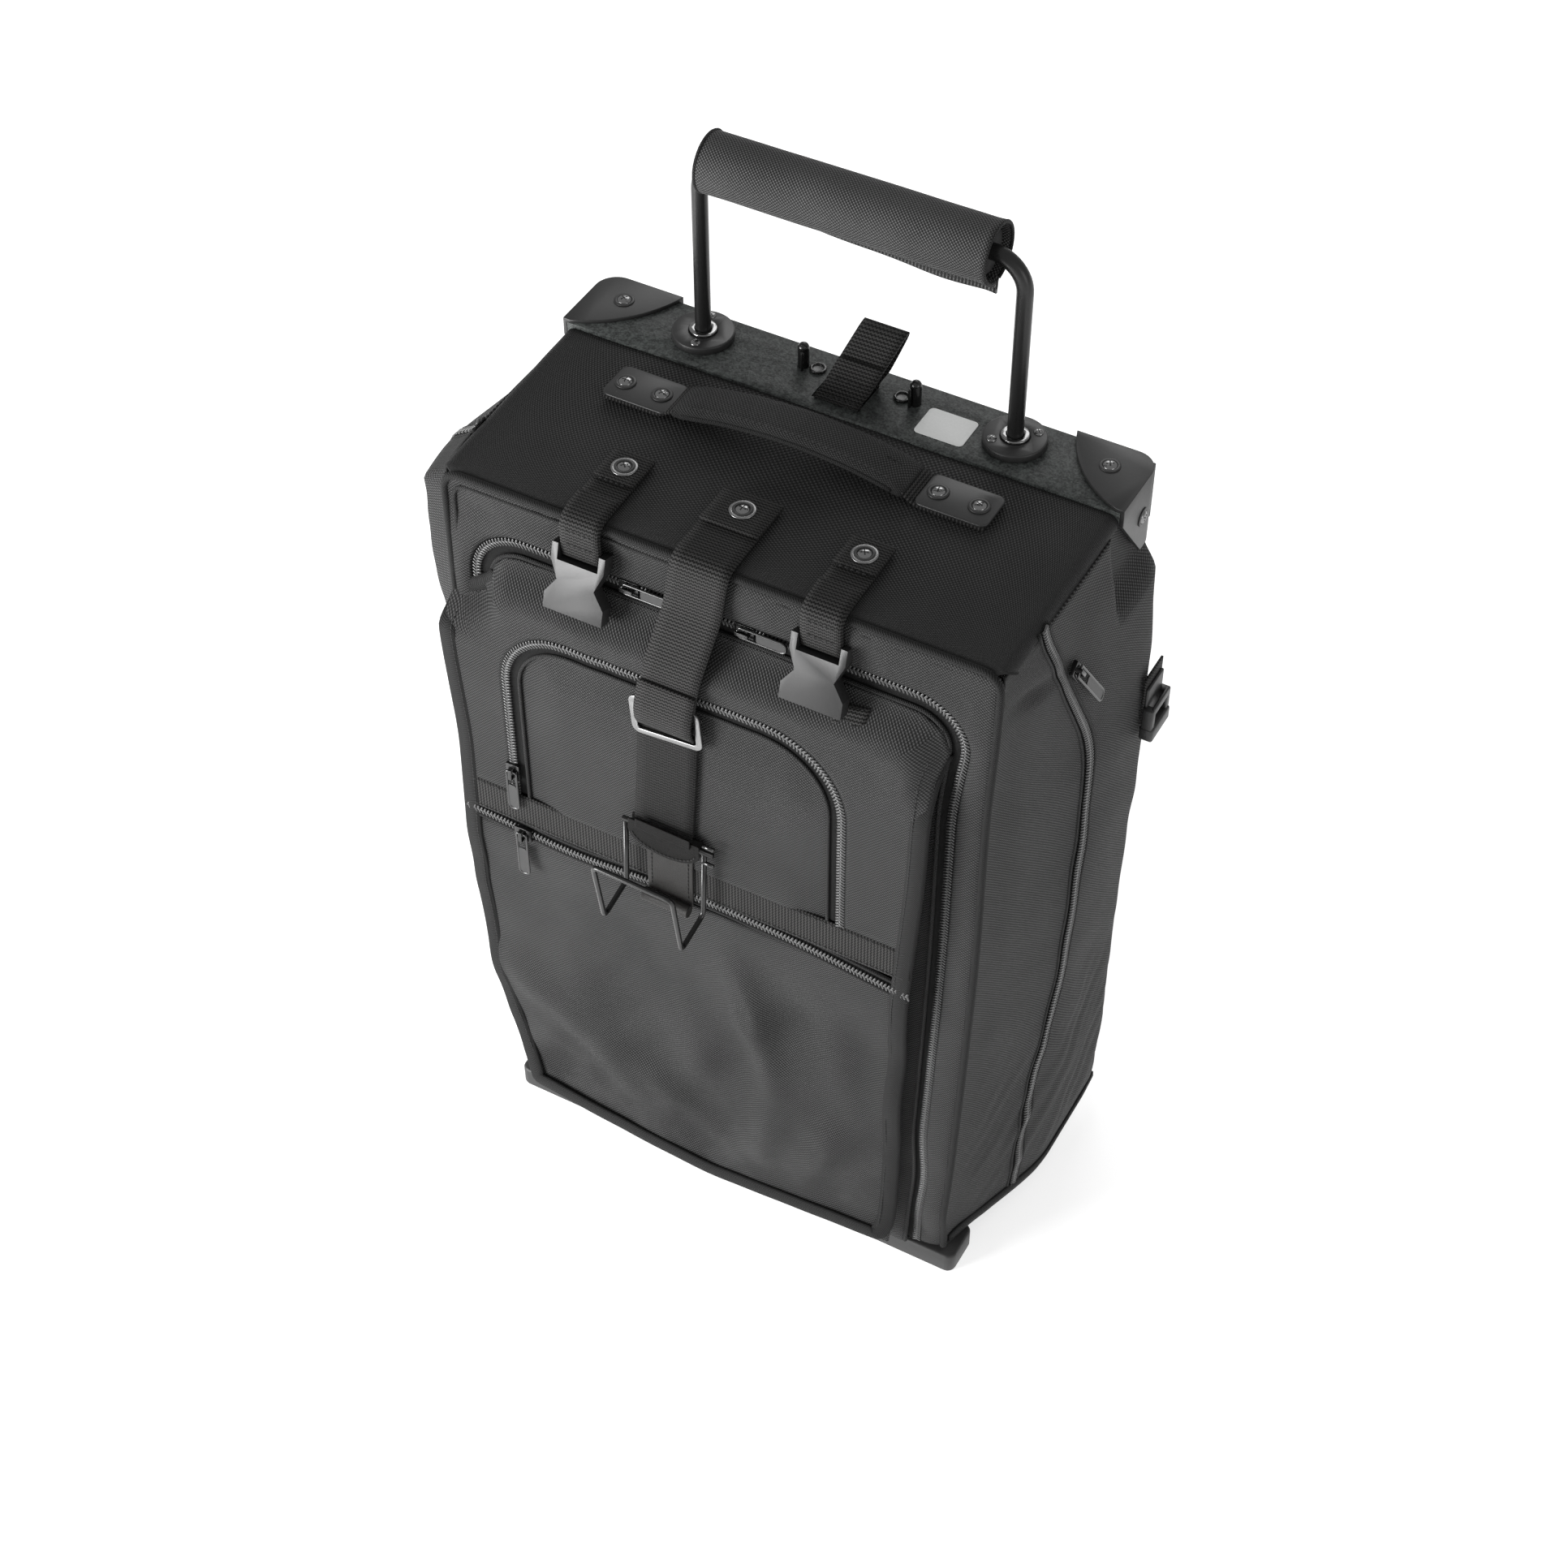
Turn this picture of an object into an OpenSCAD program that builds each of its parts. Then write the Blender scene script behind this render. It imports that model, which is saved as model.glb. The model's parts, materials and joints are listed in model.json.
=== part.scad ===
// Flight bag on two wheels, with a telescoping pull handle and a hook for a second bag.
// Millimetres, +X to the bag's left as it is faced, -Y to the front, +Z up.
// The origin is on the floor, below the middle of the bag with its hook and wheels.

/* [Body] */
// Width across the outer faces of the two side walls
body_w = 346; // [300:1:400]
// Y of the front wall's outer face
body_front = -63; // [-90:1:-50]
// Y of the back board's outer face
body_back = 118; // [90:1:130]
// Height of the top panel's front edge above the floor
body_h = 550; // [450:1:620]
// Height of the base board's underside above the floor
base_z = 16; // [10:1:30]
// Thickness of a wall: board, foam and cloth together
wall = 3; // [2:0.5:6]

/* [Top frame] */
// Width over the two corner caps
cap_span = 358; // [320:1:400]
// Y of the frame's rear edge
frame_back = 123; // [100:1:135]
// Depth of the frame from front to back
frame_d = 50.6; // [40:0.1:70]
// Height of the plate's top face above the floor
plate_z = 558; // [460:1:630]
// Thickness of the corner caps
cap_t = 2.5; // [1.5:0.5:4]

/* [Pull handle] */
// Distance between the two tubes' axes
tube_gap = 200; // [160:1:240]
// Outside diameter of a pull tube
tube_od = 9.5; // [8:0.5:14]
// Height of the crossbar's axis above the floor as the bag is stored
bar_z = 680; // [600:1:900]
// Radius of the bends, measured on the tube's axis
bend_r = 20; // [15:1:40]
// Outside diameter of the outer guide tubes
guide_od = 13; // [12:0.5:18]
// Outside diameter of the wrapped grip
grip_od = 36; // [24:1:42]

/* [Wheels] */
// Diameter of a wheel over its tyre
wheel_d = 84; // [60:1:110]
// Width of a tyre
wheel_w = 24; // [18:1:34]
// Distance from the bag's middle to a wheel's middle
wheel_x = 150; // [120:1:155]

/* [Front pocket] */
// X of the pocket's left edge
pocket_x1 = -149; // [-150:1:-120]
// X of the pocket's right edge
pocket_x2 = 134; // [110:1:146]
// Height of the pocket's top edge above the floor
pocket_top = 488; // [400:1:510]
// Height of the pocket's lower edge above the floor
pocket_bottom = 19; // [17:1:60]
// How far the pocket stands out from the front wall
pocket_d = 18.5; // [12:0.5:40]

/* [Side pockets] */
// Largest width of the bag, over both side pockets
bulge_w = 392; // [370:1:420]
// Y of the upright part of a side zip
side_zip_y = 58; // [30:1:70]

/* [Straps] */
// X of the left strap's screw
strap_l_x = -80; // [-110:1:-60]
// X of the middle strap's screw
strap_c_x = -5; // [-20:1:20]
// X of the right strap's screw
strap_r_x = 70; // [50:1:110]
// Width of the two short straps
strap_w = 25; // [20:1:30]
// Width of the middle strap
strap_c_w = 36; // [30:1:42]
// How far a hanging buckle leans out from the bag, in degrees
buckle_tilt = 16; // [0:1:20]

/* [Hook] */
// Diameter of the hook's wire
wire_d = 3.2; // [2.5:0.1:5]
// Width of the hook between its outer wires
hook_w = 50; // [40:1:70]

/* [Hidden] */
hw = body_w / 2;
tube_x = tube_gap / 2;
tube_y = frame_back - 23.8;
frame_front = frame_back - frame_d;
cap_z = plate_z + cap_t;
zip_u_x = 157;
zip_u_z = 514;
zip_u_r = 34;
zip_w = 12;
axle_y = 87;
axle_z = wheel_d / 2;
house_r = axle_z + 4;
pocket_y = body_front - pocket_d;
band_z1 = 300;
band_z2 = 326;
low_zip_z = 293;
panel_x1 = -131;
panel_x2 = 90;
panel_z2 = 459;
bulge_x = bulge_w / 2;
face_y = pocket_y - 1.5;
hook_y = face_y - 7.4;
hook_z = 352;
hook_x = -22;
hook_tilt = 6;
pin_x = 36;
pin_y = frame_back - 20;
screw_y = frame_back - 84.5;
loop_x = -4;
main_x1 = -53;
main_x2 = 20;
low_x = -128;
panel_sz = 346;
$fn = 48;

// One of the names above, or all

// ---- helpers ----
module both() {
  children();
  mirror([1, 0, 0]) children();
}

// a box from one corner to the other
module span(a, b) {
  translate(a) cube(b - a);
}

// a cylinder along X, Y or Z from a point
module rod_x(p, l, r) {
  translate(p) rotate([0, 90, 0]) cylinder(h = l, r = r);
}
module rod_y(p, l, r) {
  translate(p) rotate([-90, 0, 0]) cylinder(h = l, r = r);
}
module rod_z(p, l, r) {
  translate(p) cylinder(h = l, r = r);
}

// a rectangle with rounded corners, from one corner to the other
module pad2(a, b, r) {
  translate([a[0] + r, a[1]]) square([b[0] - a[0] - 2 * r, b[1] - a[1]]);
  translate([a[0], a[1] + r]) square([b[0] - a[0], b[1] - a[1] - 2 * r]);
  for (x = [a[0] + r, b[0] - r])
    for (y = [a[1] + r, b[1] - r])
      translate([x, y]) circle(r = r);
}

// a flat outline in X and Z, made solid from y1 forward to y2
module upright(y1, y2) {
  translate([0, y1, 0]) rotate([90, 0, 0]) linear_extrude(height = y1 - y2) children();
}

// a flat outline in Y and Z, made solid from x1 to x2
module across(x1, x2) {
  translate([x1, 0, 0]) rotate([90, 0, 90]) linear_extrude(height = x2 - x1) children();
}

// ---- top frame ----
module frame_plate() {
  color([0.2, 0.22, 0.21])
    difference() {
      union() {
        span([-176.4, frame_front, plate_z - 3], [176.4, frame_back - cap_t, plate_z]);
        span([-176.4, frame_front, plate_z - 8.4], [176.4, frame_front + 2.6, plate_z]);
        span([-176.4, body_back, plate_z - 38], [176.4, frame_back - cap_t, plate_z]);
      }
      both() rod_z([tube_x, tube_y, plate_z - 5], 8, tube_od / 2 + 2.5);
      span([loop_x - 15, tube_y - 18, plate_z - 5], [loop_x + 15, tube_y + 8, plate_z + 1]);
    }
}

module cap_outline(grow) {
  intersection() {
    union() {
      translate([120, frame_front]) square([59 + grow, frame_d - 14]);
      translate([120, frame_front]) square([45 + grow, frame_d + grow]);
      translate([165 + grow, frame_back - 14 + grow]) circle(r = 14);
    }
    translate([0, 0]) square([300, 300]);
  }
}

// one corner cap: a skin over the top, the side and the back, cut to a curved edge
module cap_one() {
  low = plate_z - 49;
  difference() {
    intersection() {
      translate([0, 0, low]) linear_extrude(height = 49 + cap_t) cap_outline(0);
      translate([203, frame_back + 23.4, low - 1]) cylinder(h = 60, r = 79.4, $fn = 96);
      across(120, 190)
        polygon([[frame_back - 20, low], [frame_back + 5, low], [frame_back + 5, plate_z + 9],
          [frame_front - 5, plate_z + 9], [frame_front - 5, plate_z - 3], [frame_back - 37, plate_z - 27]]);
    }
    span([100, frame_front - 1, low - 1], [176.5, frame_back - cap_t + 0.1, plate_z]);
    span([100, 0, low - 1], [165, frame_back + 1, plate_z - 26]);
  }
}
module corner_caps() {
  color([0.14, 0.14, 0.15])
    both() cap_one();
}

// a pan head with a cross recess, pointing up
module pan_head(r) {
  difference() {
    cylinder(h = r * 0.5, r = r);
    translate([-r * 0.6, -r * 0.12, r * 0.25]) cube([r * 1.2, r * 0.24, r]);
    translate([-r * 0.12, -r * 0.6, r * 0.25]) cube([r * 0.24, r * 1.2, r]);
  }
}
module frame_screws() {
  color([0.75, 0.75, 0.76]) {
    both() {
      translate([156, frame_back - 19.5, cap_z]) pan_head(4.6);
      translate([179, frame_back - 22, plate_z - 23]) rotate([0, 90, 0]) pan_head(4.2);
    }
    for (s = [[-tube_x, -80], [-tube_x, 100], [tube_x, -140], [tube_x, 40]])
      translate([s[0] + 13.5 * cos(s[1]), tube_y + 13.5 * sin(s[1]), plate_z + 5])
        pan_head(3);
  }
}
module tube_flanges() {
  color([0.12, 0.12, 0.13])
    both()
      difference() {
        rod_z([tube_x, tube_y, plate_z], 5, 18.5);
        rod_z([tube_x, tube_y, plate_z - 1], 8, tube_od / 2 + 3.5);
      }
}
module flange_lips() {
  color([0.85, 0.85, 0.87])
    both()
      difference() {
        rod_z([tube_x, tube_y, plate_z], 6.5, tube_od / 2 + 3.5);
        rod_z([tube_x, tube_y, plate_z - 1], 9, tube_od / 2 + 0.1);
      }
}
// two round-tipped pins beside the release loop, each with its ring and bright wire
module bag_pins() {
  color([0.13, 0.13, 0.14])
    both() {
      rod_z([pin_x, pin_y, plate_z], 13, 3.4);
      translate([pin_x, pin_y, plate_z + 13]) sphere(r = 3.4);
      rod_z([pin_x - 1.6, pin_y - 4.7, plate_z], 13, 0.9);
      difference() {
        rod_z([pin_x - 9, pin_y + 1, plate_z], 1.6, 5);
        rod_z([pin_x - 9, pin_y + 1, plate_z + 0.6], 3, 3.2);
      }
    }
}
module label_plate() {
  color([0.92, 0.92, 0.9])
    translate([0, 0, plate_z])
      linear_extrude(height = 0.4)
        pad2([45.5, frame_back - 42.5], [76, frame_back - 18.5], 3);
}

// ---- pull handle ----
module guide_tubes() {
  color([0.6, 0.6, 0.62])
    both()
      difference() {
        rod_z([tube_x, tube_y, base_z + wall], plate_z - 3 - base_z - wall, guide_od / 2);
        rod_z([tube_x, tube_y, 0], plate_z + 10, guide_od / 2 - 0.9);
      }
}
module guide_feet() {
  color([0.1, 0.1, 0.1])
    both()
      difference() {
        span([tube_x - 14, tube_y - 14, base_z + wall], [tube_x + 14, body_back - wall, 44]);
        rod_z([tube_x, tube_y, base_z], 60, guide_od / 2);
      }
}

// the U-shaped tube, drawn down both sides from its crossbar
module pull_tubes() {
  r = tube_od / 2;
  low = 150;
  color([0.1, 0.1, 0.11]) {
    both()
      difference() {
        rod_z([tube_x, tube_y, low], bar_z - bend_r - low, r);
        rod_z([tube_x, tube_y, low - 1], 300, r - 1);
      }
    rod_x([-tube_x + bend_r, tube_y, bar_z], tube_gap - 2 * bend_r, r);
    both()
      translate([tube_x - bend_r, tube_y, bar_z - bend_r])
        rotate([90, 0, 0])
          rotate_extrude(angle = 90) translate([bend_r, 0]) circle(r = r);
  }
}
module tube_glides() {
  color([0.75, 0.7, 0.6])
    both()
      difference() {
        rod_z([tube_x, tube_y, 152], 18, guide_od / 2 - 0.98);
        rod_z([tube_x, tube_y, 140], 60, tube_od / 2);
      }
}
module grip_foam() {
  color([0.08, 0.08, 0.08])
    difference() {
      rod_x([-74, tube_y, bar_z], 153, grip_od / 2 - 4.5);
      rod_x([-80, tube_y, bar_z], 170, tube_od / 2);
    }
}
module grip_wrap() {
  color([0.15, 0.15, 0.15]) {
    difference() {
      rod_x([-79, tube_y, bar_z], 157, grip_od / 2);
      rod_x([-90, tube_y, bar_z], 190, grip_od / 2 - 4.5);
    }
    span([-70, tube_y - 1.5, bar_z - grip_od / 2 - 4], [78, tube_y + 1.5, bar_z - grip_od / 2 + 2]);
  }
}

// webbing loop, leaning back, standing through the slot in the plate
module release_loop() {
  y1 = tube_y - 16.5;
  y2 = tube_y + 5;
  outer = [[y1, 546], [y1, 566], [y1 + 21, 597], [y1 + 27, 600], [y1 + 31, 597],
    [y1 + 27, 578], [y2 - 0.5, 546]];
  inner = [[y1 + 3, 549], [y1 + 3, 565], [y1 + 23, 593], [y1 + 26, 595], [y1 + 27.6, 594],
    [y1 + 24.4, 578], [y2 - 3.5, 549]];
  color([0.17, 0.17, 0.17])
    across(loop_x - 14, loop_x + 14)
      difference() {
        polygon(outer);
        polygon(inner);
      }
}
// bar under the plate that the loop lifts to free the tubes
module release_yoke() {
  color([0.5, 0.5, 0.52])
    difference() {
      span([-tube_x + 9, tube_y - 8, 536], [tube_x - 9, tube_y + 3, 546]);
      span([-60, tube_y - 9, 539], [-22, tube_y + 4, 550]);
      span([22, tube_y - 9, 539], [60, tube_y + 4, 550]);
    }
}

// ---- body walls ----
module top_panel() {
  color([0.16, 0.16, 0.16])
    across(-hw + wall, hw - wall)
      polygon([[body_front, body_h - wall], [body_front, body_h],
        [frame_front - 0.2, body_h + 5], [frame_front - 0.2, body_h + 5 - wall]]);
}
module wells() {
  both() span([wheel_x - 19, axle_y - house_r - 4, -1], [wheel_x + 19, 130, axle_z + house_r + 4]);
}
module back_board() {
  color([0.13, 0.13, 0.13])
    difference() {
      span([-hw + wall, body_back - wall, base_z + wall], [hw - wall, body_back, plate_z - 3.2]);
      wells();
    }
}
module base_board() {
  color([0.12, 0.12, 0.12])
    difference() {
      span([-hw + wall, body_front + wall, base_z], [hw - wall, body_back, base_z + wall]);
      wells();
    }
}
module side_walls() {
  y2 = frame_front - 0.2;
  color([0.14, 0.14, 0.14])
    both()
      across(hw - wall, hw)
        polygon([[body_front + wall, base_z], [body_back, base_z], [body_back, body_h - 1.2],
          [y2, body_h - 1.2], [y2, body_h + 2], [body_front + wall, body_h - 2.8]]);
}

// the area inside the U-shaped zip, larger or smaller by grow
module u_area(grow) {
  x = zip_u_x + grow;
  z = zip_u_z + grow;
  r = zip_u_r + grow;
  translate([-x, base_z]) square([2 * x, z - r - base_z]);
  translate([-x + r, base_z]) square([2 * x - 2 * r, z - base_z]);
  for (s = [-1, 1])
    translate([s * (x - r), z - r]) circle(r = r);
}
module front_frame() {
  color([0.15, 0.15, 0.15])
    upright(body_front + wall, body_front)
      difference() {
        translate([-hw + wall, base_z]) square([2 * (hw - wall), body_h - wall - 0.6 - base_z]);
        u_area(zip_w / 2);
      }
}
module front_flap() {
  color([0.15, 0.15, 0.15])
    upright(body_front + wall, body_front) u_area(-zip_w / 2);
}
module main_zip() {
  color([0.09, 0.09, 0.09]) {
    upright(body_front + 2, body_front + 0.5)
      difference() {
        u_area(zip_w / 2);
        u_area(-zip_w / 2);
      }
    upright(body_front + 0.5, body_front - 1.2)
      difference() {
        u_area(2.6);
        u_area(-2.6);
      }
  }
}
// corded edge round the front, down both sides
module piping() {
  x = hw - 0.2;
  y = body_front - 2.4;
  z = body_h - 1;
  color([0.11, 0.11, 0.11]) {
    both() rod_z([x, y, base_z], z - base_z, 2.3);
    rod_x([-x, y, z], 2 * x, 2.3);
    both() translate([x, y, z]) sphere(r = 2.3);
  }
}

// ---- side pockets ----
// the rounded block that a side pocket follows, smaller by t
module pillow(t) {
  y1 = body_front + wall + t;
  y2 = body_back - t;
  b = bulge_x - hw;
  intersection() {
    translate([hw, 0, base_z + t])
      linear_extrude(height = body_h - 5 - base_z - 2 * t)
        polygon([[0, y1], [b * 0.55 - t, y1 + 30], [b * 0.88 - t, y1 + 75], [b - t, side_zip_y - 6],
          [b - t, y2 - 24], [b * 0.85 - t, y2 - 9], [b * 0.3 - t, y2], [0, y2]]);
    translate([hw, y1 - 5, 0]) rotate([90, 0, 0]) mirror([0, 0, 1])
      linear_extrude(height = y2 - y1 + 10)
        polygon([[0, base_z + t], [b * 0.6 - t, base_z + t], [b - t, 45], [b * 0.95 - t, 300],
          [b * 0.72 - t, 430], [b * 0.16 - t * 0.3, body_h - 5 - t], [0, body_h - 5 - t]]);
  }
}
module pocket_skin(t) {
  difference() {
    pillow(0);
    pillow(t);
    span([hw - 1, frame_front - 4, plate_z - 52], [bulge_x + 1, 150, 600]);
  }
}
// the strip that the side zip runs in, as an outline in Y and Z
module zip_strip(w) {
  polygon([[side_zip_y - w, 0], [side_zip_y + w, 0], [side_zip_y + w, 420 + w * 0.3],
    [side_zip_y - 84 + w, 552], [side_zip_y - 84 - w, 552], [side_zip_y - w, 420 - w * 0.3]]);
}
module side_pockets() {
  color([0.16, 0.16, 0.16])
    both()
      difference() {
        pocket_skin(2.4);
        across(hw + 1, bulge_x + 5) zip_strip(7);
      }
}
module side_zips() {
  color([0.09, 0.09, 0.09])
    both()
      intersection() {
        pocket_skin(1.6);
        across(hw + 1, bulge_x + 5) zip_strip(7);
      }
}
// short straps with a buckle, one at the back of each side
module side_fittings() {
  color([0.3, 0.3, 0.3])
    both() {
      span([bulge_x + 0.4, body_back - 26, 388], [bulge_x + 2.6, body_back - 2, 424]);
      difference() {
        span([bulge_x + 0.4, body_back - 32, 344], [bulge_x + 8.4, body_back + 2, 387.6]);
        span([bulge_x + 2, body_back - 28, 340], [bulge_x + 6.6, body_back - 2, 366]);
      }
    }
}

// ---- front pocket ----
module pocket_area(grow) {
  pad2([pocket_x1 - grow, pocket_bottom - grow], [pocket_x2 + grow, pocket_top + grow], 12);
}
module pocket_gusset() {
  color([0.14, 0.14, 0.14])
    upright(body_front - 1.4, pocket_y + 2.5)
      difference() {
        pocket_area(0);
        pocket_area(-2.5);
      }
}
// the D-shaped panel in the pocket's upper half
module d_area(grow) {
  translate([panel_x1 - grow, band_z2]) square([panel_x2 - panel_x1 + 2 * grow, 66]);
  translate([panel_x1 + 40, band_z2]) square([panel_x2 - panel_x1 - 95, panel_z2 - band_z2 + grow]);
  translate([panel_x1 + 40, panel_z2 - 40]) circle(r = 40 + grow);
  translate([panel_x1 - grow, 390]) square([80, panel_z2 - 40 - 390]);
  translate([panel_x2 - 67, panel_z2 - 67]) circle(r = 67 + grow);
}
module pocket_panels() {
  color([0.16, 0.16, 0.16]) {
    upright(pocket_y + 2.5, pocket_y)
      difference() {
        pocket_area(0);
        translate([-200, 0]) square([400, band_z1]);
        d_area(5);
      }
    upright(pocket_y + 2.5, pocket_y)
      difference() {
        pocket_area(0);
        translate([-200, low_zip_z - 7]) square([400, 300]);
      }
  }
}
module pocket_flap() {
  color([0.17, 0.17, 0.17])
    upright(pocket_y + 2.5, pocket_y) d_area(-5);
}
module pocket_zips() {
  y = pocket_y;
  z = low_zip_z;
  color([0.09, 0.09, 0.09]) {
    upright(y + 2, y + 0.8)
      difference() {
        d_area(5);
        d_area(-5);
        translate([-200, 0]) square([400, band_z2]);
      }
    upright(y + 0.8, y - 0.6)
      difference() {
        d_area(2);
        d_area(-2);
        translate([-200, 0]) square([400, band_z2 + 2]);
      }
    span([pocket_x1, y + 0.8, z - 7], [pocket_x2, y + 2, band_z1]);
    span([pocket_x1 + 6, y - 0.6, z - 2.6], [pocket_x2 - 6, y + 0.8, z + 2.6]);
  }
}
// the webbing band over the lower zip, and the tape bound round the pocket's edge
module pocket_trim() {
  y = pocket_y;
  color([0.2, 0.2, 0.19]) {
    span([pocket_x1 + 9, y - 1.4, band_z1 + 0.5], [pocket_x2 - 9, y, band_z2 - 0.5]);
    upright(y, y - 1)
      difference() {
        pocket_area(0);
        pad2([pocket_x1 + 8, pocket_bottom + 8], [pocket_x2 - 8, 700], 8);
        translate([-200, z_low()]) square([400, 14]);
      }
  }
}
function z_low() = low_zip_z - 7;

// ---- top fittings ----
// height of the top panel's face at y
function top_at(y) = body_h + 5 * (y - body_front) / (frame_front - 0.2 - body_front);

module carry_plates() {
  color([0.17, 0.17, 0.18]) {
    translate([0, 0, top_at(screw_y + 14) + 4])
      linear_extrude(height = 2) pad2([-124.5, screw_y - 14], [-81, screw_y + 14], 5);
    translate([0, 0, top_at(screw_y + 14) + 4])
      linear_extrude(height = 2) pad2([74, screw_y - 14], [118.5, screw_y + 14], 5);
  }
}
// padded strap that arches between the two plates
module carry_strap() {
  z = top_at(screw_y + 14) + 0.2;
  color([0.15, 0.15, 0.15])
    translate([0, screw_y + 14, 0]) rotate([90, 0, 0])
      linear_extrude(height = 28)
        polygon([[-122, z], [-122, z + 3.6], [-80.6, z + 3.6], [-77.6, z + 8], [-40, z + 19], [-3, z + 22],
          [34, z + 19], [70.6, z + 8], [73.6, z + 3.6], [116, z + 3.6], [116, z], [70, z],
          [34, z + 10], [-3, z + 13], [-40, z + 10], [-76, z]]);
}
module top_screws() {
  z = top_at(screw_y + 14) + 6;
  color([0.8, 0.8, 0.8]) {
    for (x = [-116, -92, 83, 108])
      translate([x, screw_y, z]) pan_head(4.2);
    for (x = [strap_l_x, strap_c_x, strap_r_x])
      translate([x, body_front + 40, 557]) {
        cylinder(h = 1, r = 7.5);
        translate([0, 0, 1]) pan_head(5);
      }
  }
}
// short straps with a loop at the lower end for the buckle's bar
module short_strap(x) {
  b = body_front;
  across(x - strap_w / 2, x + strap_w / 2)
    difference() {
      polygon([[b + 52, 553.6], [b + 52, 556.9], [b - 2, 555.2], [b - 5.5, 554.6], [b - 8.6, 550],
        [b - 8.6, 540], [b - 7.8, 527], [b - 4.8, 527], [b - 5.4, 540], [b - 5.4, 549.3],
        [b - 3.5, 551.8], [b, 552.4]]);
      translate([b - 6.3, 530.2]) circle(r = 1.1);
    }
}
module straps() {
  color([0.18, 0.18, 0.17]) {
    short_strap(strap_l_x);
    short_strap(strap_r_x);
  }
}
// long strap from its screw, down the front, to the hook
module centre_strap() {
  x1 = strap_c_x - strap_c_w / 2;
  b = body_front;
  f = face_y;
  color([0.18, 0.18, 0.17]) {
    across(x1, x1 + strap_c_w)
      polygon([[b + 52, 553.6], [b + 52, 556.9], [b - 2, 555.2], [b - 5.5, 554.6], [b - 8.8, 550],
        [b - 11.4, 520], [f - 4.6, 482], [f - 5.5, 463], [f - 2.5, 463], [f - 1.6, 482], [b - 8.4, 520],
        [b - 5.8, 549.3], [b - 3.5, 551.8], [b, 552.4]]);
    upright(f - 2, f - 4.2)
      polygon([[-37, 434], [-3, 437], [-8, 356], [-42, 352]]);
  }
}
module buckle_shape(x) {
  b = body_front;
  difference() {
    union() {
      upright(b - 2.8, b - 11.6)
        polygon([[x - 17, 524], [x - 12, 512], [x - 19, 502], [x - 19, 492], [x + 19, 492],
          [x + 19, 502], [x + 12, 512], [x + 17, 524]]);
      upright(b - 2.8, b - 11.6)
        difference() {
          polygon([[x - 17, 524], [x + 17, 524], [x + 17, 534], [x - 17, 534]]);
          translate([x - strap_w / 2 - 0.5, 524]) square([strap_w + 1, 20]);
        }
      rod_x([x - 15, b - 6.3, 530.2], 30, 0.8);
    }
    span([x - 14, b - 10.4, 488], [x + 14, b - 4, 503]);
  }
}
// the buckle turned about the bar that its strap loops round
module buckle(x) {
  bar = [0, body_front - 6.3, 530.2];
  translate(bar) rotate([-buckle_tilt, 0, 0]) translate(-bar) buckle_shape(x);
}
module buckle_left() {
  color([0.1, 0.1, 0.1]) buckle(strap_l_x);
}
module buckle_right() {
  color([0.1, 0.1, 0.1]) buckle(strap_r_x);
}
// metal slide that the middle strap folds through
module tri_glide() {
  color([0.72, 0.72, 0.74])
    translate([-19, face_y - 4.4, 445]) rotate([90, 0, 0])
      linear_extrude(height = 2.2)
        rotate(5)
          difference() {
            pad2([-23, -14], [23, 14], 5);
            pad2([-19, 1.5], [19, 10.5], 2);
            pad2([-19, -10.5], [19, -1.5], 2);
          }
}

// ---- hook ----
// leather keeper round the hook's rod, and the tab that hangs behind it
module hook_keeper() {
  f = face_y;
  color([0.12, 0.11, 0.11])
    translate([hook_x, 0, hook_z]) rotate([0, hook_tilt, 0]) {
      for (y = [f - 4.4, f - 9.3])
        upright(y, y - 1.3)
          polygon([[-24, 12], [24, 12], [24, 0], [18, -11], [8, -15], [-8, -15], [-18, -11], [-24, 0]]);
      span([-24, f - 9.3, 6], [24, f - 5.7, 12]);
      upright(f - 0.3, f - 1.8) polygon([[-14, 10], [14, 10], [14, -62], [-14, -62]]);
    }
}
// one bent leg of the hook's wire, from its rod down, forward and up
module hook_leg() {
  r = wire_d / 2;
  p = [[0, 0], [0, -65], [-26, -72], [-37, -18]];
  for (i = [0 : 2]) {
    v = p[i + 1] - p[i];
    translate([0, p[i][0], p[i][1]]) rotate([atan2(-v[0], v[1]), 0, 0]) cylinder(h = norm(v), r = r);
    translate([0, p[i + 1][0], p[i + 1][1]]) sphere(r = r * 1.05);
  }
}
module hook_wire() {
  r = wire_d / 2;
  color([0.1, 0.1, 0.1])
    translate([hook_x, hook_y, hook_z]) rotate([0, hook_tilt, 0]) {
      for (x = [-hook_w / 2 - 1.5, hook_w / 2 + 1.5])
        translate([x, 0, 0]) hook_leg();
      rod_x([-hook_w / 2 - 1.5, -37, -18], hook_w + 3, r * 0.98);
      rod_x([-hook_w / 2 - 4, 0, 0], hook_w + 10, r * 1.04);
    }
}

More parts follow.
